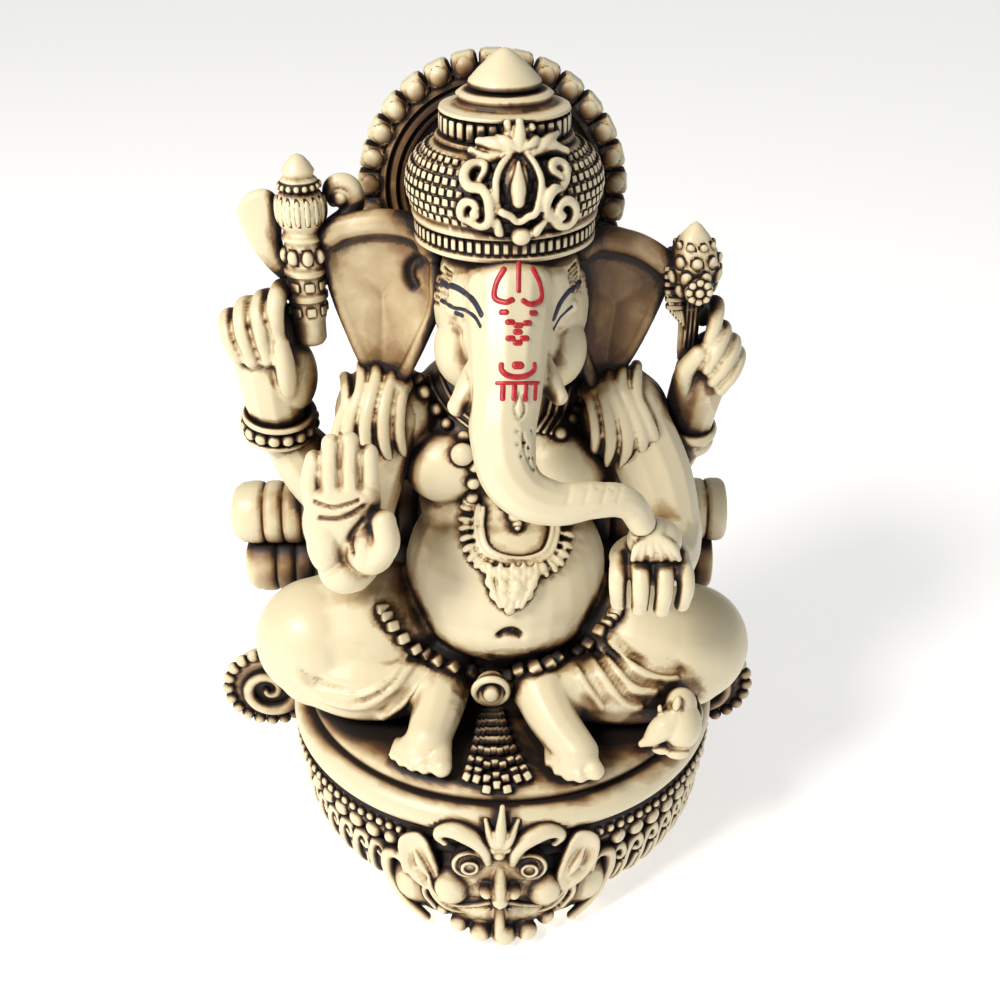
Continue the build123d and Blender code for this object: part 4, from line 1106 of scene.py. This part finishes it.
mouseParts = [
    ball((34.6, -31.0, 42.0), (4.4, 5.2, 5.0)), ball((34.9, -29.0, 45.2), (3.2, 3.6, 3.4)),
    tube(
        [(33.0, -32.4, 43.6), (30.6, -33.4, 42.6), (28.2, -34.0, 40.4), (26.8, -34.2, 39.6)],
        [2.9, 2.6, 1.5, 0.7]
    ),
    ball((30.6, -31.6, 45.6), (0.9, 0.7, 1.6), (-0.2, 0, 1)),
    ball((33.4, -32.0, 47.4), (1.3, 0.8, 2.2), (0.2, 0, 1)),
    ball((31.0, -34.0, 38.4), (2.2, 1.4, 1.3)), ball((34.0, -35.0, 38.0), (2.4, 1.4, 1.3)),
    ball((29.6, -35.2, 42.6), 0.6), ball((32.2, -35.0, 43.6), 0.6),
    tube([(37.4, -29.0, 39.0), (39.2, -27.0, 41.0), (38.6, -24.0, 43.0)], [0.9, 0.8, 0.5]),
]
keep(sculpt(mouseParts, 0.28, 2), "mouse", "mouse")
print("attributes done")


# crown jewel

jx, jy, jz = 2.1, -21.4, 147.0
jewelTree = surface(bpy.data.objects["crownBody"])


def onCrown(points, lift):
    return dropped([jewelTree], [(jx + x, jy, jz + z) for x, z in points], lift)


def teardrop(width, high, count=18):
    out = []
    for k in range(count):
        a = math.tau * k / count
        out.append((width * math.sin(a) * (1 - 0.45 * max(0, math.cos(a)) ** 1.5), high * math.cos(a)))
    return out


jewelParts = [tube(onCrown(teardrop(3.5, 5.2), 1.3), 0.7, closed=True)]
gem = onCrown([(0, 3.6), (0, 1.6), (0, -0.8), (0, -2.4)], 1.0)
jewelParts.append(tube(gem, [0.4, 0.9, 1.45, 1.2]))
jewelParts.append(ball(onCrown([(0.4, -7.4)], 1.3)[0], (1.75, 1.4, 1.75)))
for x, tip in ((-3.4, 8.8), (-1.9, 10.2), (0, 10.9), (1.9, 10.2), (3.4, 8.8)):
    jewelParts.append(
        tube(
            onCrown([(0, 5.6), (x * 0.6, (5.6 + tip) / 2 + 0.4), (x * 0.9, tip - 0.6)], 1.2),
            [0.8, 1.15, 0.7]
        )
    )
for flip in (-1, 1):
    for pair in (((1.6, 5.6), (3.6, 7.2), (5.8, 7.6)), ((2.2, 4.6), (4.6, 5.4), (7.2, 5.0))):
        jewelParts.append(tube(onCrown([(flip * x, z) for x, z in pair], 1.1), [0.9, 1.45, 0.8]))
    curl = [
        (6.4, 1.2), (5.2, 2.6), (6.6, 3.6), (8.0, 2.4), (7.6, 0.2), (5.4, -1.0), (4.2, -3.4), (5.2, -5.8),
        (7.6, -6.0), (8.8, -4.2), (7.8, -2.4), (6.4, -3.4), (7.0, -4.6)
    ]
    jewelParts.append(
        tube(
            onCrown([(flip * x, z) for x, z in curl], 1.0),
            [0.8, 0.85, 0.95, 1.0, 1.0, 1.0, 1.0, 1.0, 1.0, 0.95, 0.9, 0.85, 0.9]
        )
    )
    jewelParts.append(ball(onCrown([(flip * 6.9, -4.0)], 1.0)[0], 1.0))
    jewelParts.append(
        tube(onCrown([(flip * 4.0, -5.4), (flip * 2.9, -7.0), (flip * 2.6, -8.2)], 0.9), [0.7, 1.0, 0.8])
    )
jewelParts.append(tube(onCrown([(0, 6), (0, 0), (0, -6)], -3.4), [2.4, 3.9, 2.6]))
keep(sculpt(jewelParts, 0.25, 1), "crownJewel", "crown_jewel")
print("jewel done")


# lines pressed into the surface

def pressed(ob, lines, width, depth):
    tree = surface(ob)
    carve(ob, [dropped([tree], through(line, 12)) for line in lines], width, depth)


pressed(
    figure,
    [
        [(-1.4, -25, 58.9), (0.2, -25, 60.3), (1.9, -25, 60.4), (3.4, -25, 58.9)],
        [(-0.4, -25, 59.4), (1.1, -25, 60.0), (2.4, -25, 59.4)]
    ],
    0.55, 1.5
)
hems = [
    [(-42.5, -17, 44.0), (-37.0, -17, 39.8), (-29.9, -17, 38.6), (-23.4, -17, 43.0), (-19.1, -17, 50.5)],
    [(-41.0, -17, 41.2), (-35.8, -17, 37.2), (-29.4, -17, 36.2), (-23.0, -17, 40.8), (-18.1, -17, 49.0)],
    [(-26.0, -17, 32.6), (-20.6, -17, 37.1), (-15.1, -17, 46.7)],
    [(20.5, -20, 55.1), (23.9, -20, 50.7), (27.7, -20, 46.9), (31.8, -20, 45.0), (36.0, -20, 45.0)],
    [(18.8, -20, 53.3), (22.6, -20, 47.6), (26.9, -20, 42.5), (32.1, -20, 41.2)],
    [(16.7, -22, 52.9), (20.4, -22, 46.6), (24.7, -22, 40.2), (28.9, -22, 38.9)],
    [(14.1, -24, 51.3), (17.3, -24, 45.1), (20.5, -24, 39.9)],
]
pressed(figure, hems, 1.2, -0.9)
pressed(figure, [[(p[0] + 0.5, p[1], p[2] + 1.5) for p in line] for line in hems], 0.8, 0.5)
palm = [
    [(-34.6, -29, 92.0), (-30.6, -29, 90.6), (-26.0, -29, 92.2)],
    [(-34.0, -29, 88.6), (-29.5, -29, 88.4), (-25.0, -29, 91.0)],
    [(-28.0, -29, 80.6), (-28.0, -29, 84.6), (-25.2, -29, 88.4)],
]
pressed(bpy.data.objects["frontRightArm"], palm, 0.42, 0.6)
trunkMarks = [
    [(2.4, -34, 115.8), (1.6, -34, 112.6), (2.4, -34, 110.6), (3.3, -34, 112.6), (2.5, -34, 115.8)],
    [(2.9, -38, 110.2), (3.2, -38, 106.6), (4.6, -38, 103.0)],
]
pressed(head, trunkMarks, 0.28, 0.4)
dots = [
    [(x, -38, z + 0.3), (x + 0.1, -38, z), (x + 0.1, -38, z - 0.3)]
    for x, z in (
        (1.9, 110.3), (2.0, 107.9), (4.3, 110.3), (3.0, 108.2), (2.6, 105.6), (3.9, 105.2), (4.7, 103.2),
        (3.8, 107.2), (5.5, 105.2), (6.6, 104.0)
    )
]
pressed(head, dots, 0.4, 0.6)
wrinkles = [
    [(x, -40, 104.6), (x + 0.9, -40, 101.0), (x + 0.4, -40, 97.4)]
    for x in (10.0, 13.0, 16.0, 18.6)
]
pressed(head, wrinkles, 0.4, 0.14)
fringe = [
    [(-14.6, -12, 130.6 - 1.2 * k), (-12.2, -16, 130.8 - 1.2 * k), (-10.4 - 0.2 * k, -18, 130.6 - 1.1 * k)]
    for k in range(6)
]
fringe += [
    [(16.4, -12, 131.6 - 1.2 * k), (15.2, -15, 131.6 - 1.2 * k), (13.8 + 0.2 * k, -17, 131.2 - 1.1 * k)]
    for k in range(5)
]
pressed(head, fringe, 0.32, 0.55)
pressed(
    bpy.data.objects["rightEarLeaf"],
    [[(-14.6, -6, 129.4), (-16.6, -6, 128.0), (-17.0, -6, 125.6), (-15.6, -6, 123.6)]], 1.1, 1.3
)
print("lines done")


# painted marks

headTree = surface(head)


def stroke(points, radius, sink=0.5):
    count = max(4, int(sum((Vector(b) - Vector(a)).length for a, b in zip(points, points[1:])) / 0.5))
    return tube(dropped([headTree], through(points, count), -radius * sink), radius, steps=3)


redStrokes = [
    stroke([(2.3, -25, 135.2), (2.3, -25, 130.2)], 0.5),
    stroke(
        [(-0.2, -25, 134.0), (-1.5, -25, 131.4), (-1.7, -25, 129.0), (0.0, -25, 128.2), (1.2, -25, 128.6)],
        0.62
    ),
    stroke(
        [(4.7, -25, 134.0), (5.9, -25, 131.4), (6.1, -25, 128.6), (4.4, -25, 127.8), (3.2, -25, 128.4)],
        0.62
    ),
]
for x, z in (
    (-0.2, 126.4), (4.9, 126.2), (0.9, 124.6), (3.9, 124.4), (2.3, 124.0), (2.2, 122.8), (1.0, 121.6),
    (3.4, 121.6), (2.2, 120.8)
):
    redStrokes.append(stroke([(x - 0.35, -25, z), (x + 0.35, -25, z)], 0.62))
cup = [
    (2.2 + 2.9 * math.cos(a), -28, 117.6 - 1.9 * math.sin(a))
    for a in np.linspace(-0.2, math.pi + 0.2, 9)
]
redStrokes.append(stroke(cup, 0.6))
redStrokes += [
    stroke([(2.2 - 0.4, -28, 117.9), (2.2 + 0.4, -28, 117.9)], 0.8),
    stroke([(-1.4, -28, 114.6), (5.8, -28, 114.6)], 0.4)
]
redStrokes += [stroke([(x, -30, 114.9), (x - 0.1, -30, 112.6)], 0.55) for x in (-0.4, 1.6, 3.6, 5.2)]
red = keep(smoothed(joined(redStrokes)), "foreheadMark")

inkStrokes = [
    stroke(
        [
            (-11.4, -16, 128.0), (-9.6, -17, 128.3), (-7.6, -18, 127.8), (-5.4, -19, 126.2),
            (-4.0, -20, 124.0)
        ],
        0.66
    ),
    stroke(
        [
            (-11.0, -16, 125.2), (-9.0, -18, 124.6), (-7.0, -19, 124.5), (-5.2, -20, 123.6),
            (-4.2, -20, 121.8)
        ],
        0.42
    ),
    stroke([(-8.4, -19, 123.9), (-7.4, -19, 123.5)], 0.55),
    stroke([(8.6, -20, 123.2), (9.8, -19, 125.8), (11.6, -18, 127.8), (13.2, -17, 128.8)], 0.62),
    stroke([(8.6, -20, 121.2), (9.8, -19, 123.0), (11.8, -18, 124.6)], 0.34),
]
ink = keep(smoothed(joined(inkStrokes)), "browsAndLids")
print("paint done")


# resin, with the wash that stays in the hollows and painted shade between parts

def linear(hexCode):
    # sRGB hex to the linear colour a shader works in
    parts = [int(hexCode[i:i + 2], 16) / 255 for i in (1, 3, 5)]
    return [c / 12.92 if c <= 0.04045 else ((c + 0.055) / 1.055) ** 2.4 for c in parts] + [1.0]


def node(tree, kind, links=(), **settings):
    # adds a node, sets its properties and unlinked sockets, and links the rest
    made = tree.nodes.new(kind)
    for key, value in settings.items():
        setattr(made, key, value)
    for socket, source in links:
        if isinstance(source, bpy.types.NodeSocket):
            tree.links.new(source, made.inputs[socket])
        else:
            made.inputs[socket].default_value = source
    return made


def maths(tree, operation, *values, clamped=False):
    # a math node over sockets or numbers; gives its output socket
    made = node(tree, "ShaderNodeMath", list(enumerate(values)), operation=operation, use_clamp=clamped)
    return made.outputs[0]


def ramp(tree, factor, stops):
    made = node(tree, "ShaderNodeValToRGB", [(0, factor)])
    colours = made.color_ramp
    while len(colours.elements) < len(stops):
        colours.elements.new(0.5)
    for element, (place, colour) in zip(colours.elements, stops):
        element.position = place
        element.color = linear(colour)
    return made


resinLook = {"cream": "#c0ac86", "worn": "#e3d7b6", "tan": "#8a6a43", "brown": "#54361d", "deep": "#170b06"}
washAndShadeLook = {"blotch": 0.34, "fine": 1.3, "wide": 2.7, "wideFrom": 0.07}


def makeResin():
    # cast polyester resin: ivory, satin, a brown wash wiped off the high places, darkened further by
    # painted shade where parts close in
    mat = bpy.data.materials.new("ivoryResin")
    mat.use_nodes = True
    tree = mat.node_tree
    tree.nodes.clear()
    out = node(tree, "ShaderNodeOutputMaterial")
    grime = node(tree, "ShaderNodeAttribute", attribute_name="grime")
    shade = node(tree, "ShaderNodeAttribute", attribute_name="shade")
    place = node(tree, "ShaderNodeTexCoord")
    # blotches where the wash was wiped unevenly, about 6 mm across
    blotch = node(
        tree, "ShaderNodeTexNoise",
        [("Vector", place.outputs["Object"]), ("Scale", 160.0), ("Detail", 4.0), ("Roughness", 0.6)]
    )
    spread = maths(tree, "SUBTRACT", blotch.outputs[0], 0.5)
    spread = maths(tree, "MULTIPLY", spread, washAndShadeLook["blotch"])
    # fine hollows hold most of the wash; the wide enclosure adds painted shade between parts, with some
    # wash in deep hollows
    fine = maths(tree, "MULTIPLY", grime.outputs["Fac"], washAndShadeLook["fine"])
    exposed = maths(tree, "SUBTRACT", shade.outputs["Fac"], washAndShadeLook["wideFrom"], clamped=True)
    wide = maths(tree, "MULTIPLY", exposed, washAndShadeLook["wide"])
    both = maths(tree, "ADD", fine, wide)
    total = maths(tree, "ADD", both, spread, clamped=True)
    # the ramp runs from worn cream to near black; its dark end comes mostly from painted shade
    washAndShadeColour = ramp(
        tree, total,
        [
            (0.04, resinLook["worn"]), (0.22, resinLook["cream"]), (0.46, resinLook["tan"]),
            (0.68, resinLook["brown"]), (0.95, resinLook["deep"])
        ]
    )
    grain = node(
        tree, "ShaderNodeTexNoise",
        [("Vector", place.outputs["Object"]), ("Scale", 1400.0), ("Detail", 3.0)]
    )
    bump = node(
        tree, "ShaderNodeBump", [("Height", grain.outputs[0]), ("Strength", 0.12), ("Distance", 0.0002)]
    )
    rough = node(tree, "ShaderNodeMapRange", [("Value", total), ("To Min", 0.38), ("To Max", 0.62)])
    shader = node(tree, "ShaderNodeBsdfPrincipled", [
        ("Base Color", washAndShadeColour.outputs[0]), ("Roughness", rough.outputs[0]), ("Normal", bump.outputs[0]),
        ("IOR", 1.5), ("Subsurface Weight", 0.08), ("Subsurface Scale", 0.0015),
    ])
    tree.links.new(shader.outputs[0], out.inputs[0])
    return mat


resin = makeResin()


# how enclosed each point of the surface is: near hits give the wash in fine hollows, far hits give painted
# shade between and under parts

washAndShadeRays = {"near": 2.4, "far": 15.0, "rays": 22, "start": 0.12}
# extra darkening per piece, added to the shade attribute: painted shade, most on the side away from the key
# light, with some heavier wash
extraShadeAndWash = {
    "rightEarLeaf": 0.12, "leftEarLeaf": 0.18, "seatCushion": 0.09, "seatRoll": 0.05, "frontRightArm": 0.06,
    "lionFace": 0.06, "lionEarsCrest": 0.06, "pedestalDrum": 0.1, "haloPlate": 0.08, "upperBolster": 0.08,
    "lowerBolster": 0.1, "crownBody": 0.03, "rightVolute": 0.08, "leftVolute": 0.12, "rearRightArm": 0.04,
    "rearLeftArm": 0.07, "lotusClub": 0.08, "goadShaft": 0.05,
}


def occlusionGroup(around):
    tree = bpy.data.node_groups.new("enclosure", "GeometryNodeTree")
    tree.interface.new_socket("Geometry", in_out="INPUT", socket_type="NodeSocketGeometry")
    tree.interface.new_socket("Geometry", in_out="OUTPUT", socket_type="NodeSocketGeometry")
    source = tree.nodes.new("NodeGroupInput")
    sink = tree.nodes.new("NodeGroupOutput")
    target = node(tree, "GeometryNodeObjectInfo", [("Object", around)])
    normal = node(tree, "GeometryNodeInputNormal")
    position = node(tree, "GeometryNodeInputPosition")
    lifted = node(tree, "ShaderNodeVectorMath", [(0, normal.outputs[0])], operation="SCALE")
    lifted.inputs["Scale"].default_value = washAndShadeRays["start"] * mm
    start = node(
        tree, "ShaderNodeVectorMath", [(0, position.outputs[0]), (1, lifted.outputs[0])], operation="ADD"
    )
    sums = {"near": None, "far": None, "weight": None}
    for i in range(washAndShadeRays["rays"]):
        up = 1 - 2 * (i + 0.5) / washAndShadeRays["rays"]
        turn = i * math.pi * (3 - math.sqrt(5))
        flat = math.sqrt(1 - up * up)
        way = (flat * math.cos(turn), flat * math.sin(turn), up)
        facing = node(
            tree, "ShaderNodeVectorMath", [(0, normal.outputs[0]), (1, way)], operation="DOT_PRODUCT"
        )
        side = maths(tree, "SIGN", facing.outputs["Value"])
        turned = node(tree, "ShaderNodeVectorMath", [(0, way)], operation="SCALE")
        tree.links.new(side, turned.inputs["Scale"])
        weight = maths(tree, "ABSOLUTE", facing.outputs["Value"])
        ray = node(tree, "GeometryNodeRaycast", [
            ("Target Geometry", target.outputs["Geometry"]), ("Source Position", start.outputs[0]),
            ("Ray Direction", turned.outputs[0]), ("Ray Length", washAndShadeRays["far"] * mm),
        ])
        for key in ("near", "far"):
            reach = node(tree, "ShaderNodeMapRange", [
                ("Value", ray.outputs["Hit Distance"]), ("From Min", 0.0), ("From Max", washAndShadeRays[key] * mm),
                ("To Min", 1.0), ("To Max", 0.0),
            ])
            hit = maths(tree, "MULTIPLY", reach.outputs[0], weight)
            hit = maths(tree, "MULTIPLY", hit, ray.outputs["Is Hit"])
            if sums[key] is None:
                sums[key] = hit
            else:
                sums[key] = maths(tree, "ADD", sums[key], hit)
        if sums["weight"] is None:
            sums["weight"] = weight
        else:
            sums["weight"] = maths(tree, "ADD", sums["weight"], weight)
    geometry = source.outputs[0]
    # grime is the wash held in fine hollows; shade is painted shade where parts close each other in, with
    # some wash in deep hollows
    for key, name in (("near", "grime"), ("far", "shade")):
        share = maths(tree, "DIVIDE", sums[key], sums["weight"])
        store = node(
            tree, "GeometryNodeStoreNamedAttribute",
            [("Geometry", geometry), ("Name", name), ("Value", share)], data_type="FLOAT", domain="POINT"
        )
        geometry = store.outputs[0]
    tree.links.new(geometry, sink.inputs[0])
    return tree


def paintWashAndShade(obs):
    copies = []
    for ob in obs:
        copy = bpy.data.objects.new("around", ob.data.copy())
        collection.objects.link(copy)
        copies.append(copy)
    around = joined(copies)
    around.name = "around"
    group = occlusionGroup(around)
    for ob in obs:
        mod = ob.modifiers.new("enclosure", "NODES")
        mod.node_group = group
        washedAndShaded = bpy.data.meshes.new_from_object(ob.evaluated_get(bpy.context.evaluated_depsgraph_get()))
        ob.modifiers.clear()
        ob.data = washedAndShaded
        washedAndShaded.name = ob.name
        # the listed extra painted shade is added to each piece's shade attribute
        amount = np.empty(len(washedAndShaded.vertices), np.float32)
        washedAndShaded.attributes["shade"].data.foreach_get("value", amount)
        washedAndShaded.attributes["shade"].data.foreach_set("value", amount + extraShadeAndWash.get(ob.name, 0.0))
    bpy.data.objects.remove(around)


marked = [red, ink]
resinPieces = [ob for ob in pieces if ob not in marked]
for ob in resinPieces:
    ob.data.materials.clear()
    ob.data.materials.append(resin)
paintWashAndShade(resinPieces)
print("stain done")


def makePaint(name, colour, rough):
    # brushed enamel: flat colour a little uneven, thinner where the brush lifted
    mat = bpy.data.materials.new(name)
    mat.use_nodes = True
    tree = mat.node_tree
    tree.nodes.clear()
    place = node(tree, "ShaderNodeTexCoord")
    streak = node(
        tree, "ShaderNodeTexNoise", [("Vector", place.outputs["Object"]), ("Scale", 900.0), ("Detail", 3.0)]
    )
    tint = ramp(tree, streak.outputs[0], [(0.3, colour[0]), (0.7, colour[1])])
    bump = node(
        tree, "ShaderNodeBump", [("Height", streak.outputs[0]), ("Strength", 0.1), ("Distance", 0.0001)]
    )
    shader = node(
        tree, "ShaderNodeBsdfPrincipled",
        [("Base Color", tint.outputs[0]), ("Roughness", rough), ("Normal", bump.outputs[0])]
    )
    out = node(tree, "ShaderNodeOutputMaterial")
    tree.links.new(shader.outputs[0], out.inputs[0])
    return mat


paints = {
    red: makePaint("redEnamel", ("#a3141c", "#c4303a"), 0.4),
    ink: makePaint("blueBlackInk", ("#1c1d2a", "#34364a"), 0.45)
}
for ob, paint in paints.items():
    ob.data.materials.clear()
    ob.data.materials.append(paint)
felt = makePaint("greenFelt", ("#1f4a2e", "#2c5f3c"), 0.95)
steel = makePaint("groundSteel", ("#8c8f92", "#a2a5a8"), 0.3)
steel.node_tree.nodes["Principled BSDF"].inputs["Metallic"].default_value = 1.0


# CAD nodes that still show

for name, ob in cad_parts.items():
    if not ob.hide_render:
        ob.data.materials.clear()
        ob.data.materials.append({"felt_pad": felt, "steel_dowels": steel}.get(name, resin))
        print("shown from the CAD:", name)


# floor, light and camera

studio = {"floorGlow": 0.56, "world": 0.25, "key": 4.8, "fill": 0.10}


def plainMaterial(name, colour, rough):
    mat = bpy.data.materials.new(name)
    mat.use_nodes = True
    shader = mat.node_tree.nodes["Principled BSDF"]
    shader.inputs["Base Color"].default_value = linear(colour)
    shader.inputs["Roughness"].default_value = rough
    shader.inputs["Emission Color"].default_value = linear("#ffffff")
    shader.inputs["Emission Strength"].default_value = studio["floorGlow"]
    return mat


bpy.ops.mesh.primitive_plane_add(size=4)
floor = bpy.context.object
floor.name = "studioFloor"
floor.data.materials.append(plainMaterial("paperSweep", "#fbfaf8", 0.9))

world = bpy.data.worlds.new("studio")
bpy.context.scene.world = world
world.use_nodes = True
world.node_tree.nodes["Background"].inputs[0].default_value = linear("#ffffff")
world.node_tree.nodes["Background"].inputs[1].default_value = studio["world"]


def softLight(name, at, aim, size, power, colour):
    data = bpy.data.lights.new(name, "AREA")
    data.shape = "DISK"
    data.size = size
    data.energy = power
    data.color = linear(colour)[:3]
    ob = bpy.data.objects.new(name, data)
    collection.objects.link(ob)
    ob.location = at
    ob.rotation_euler = (Vector(aim) - Vector(at)).to_track_quat("-Z", "Y").to_euler()


middle = (0, 0, 0.08)
softLight("keyLight", (-0.38, -0.34, 0.56), middle, 0.22, studio["key"], "#fffaf2")
softLight("fillLight", (0.5, -0.3, 0.3), middle, 0.5, studio["fill"], "#eef3ff")

view = {"from": eye, "to": (-0.5, 1.0, 74.9), "lens": 47.45}
cameraData = bpy.data.cameras.new("camera")
cameraData.lens = view["lens"]
cameraData.sensor_width = 36
camera = bpy.data.objects.new("camera", cameraData)
collection.objects.link(camera)
camera.location = Vector(view["from"]) * mm
gaze = (Vector(view["to"]) - Vector(view["from"])) * mm
camera.rotation_euler = gaze.to_track_quat("-Z", "Y").to_euler()
bpy.context.scene.camera = camera
bpy.context.scene.view_settings.view_transform = "Standard"
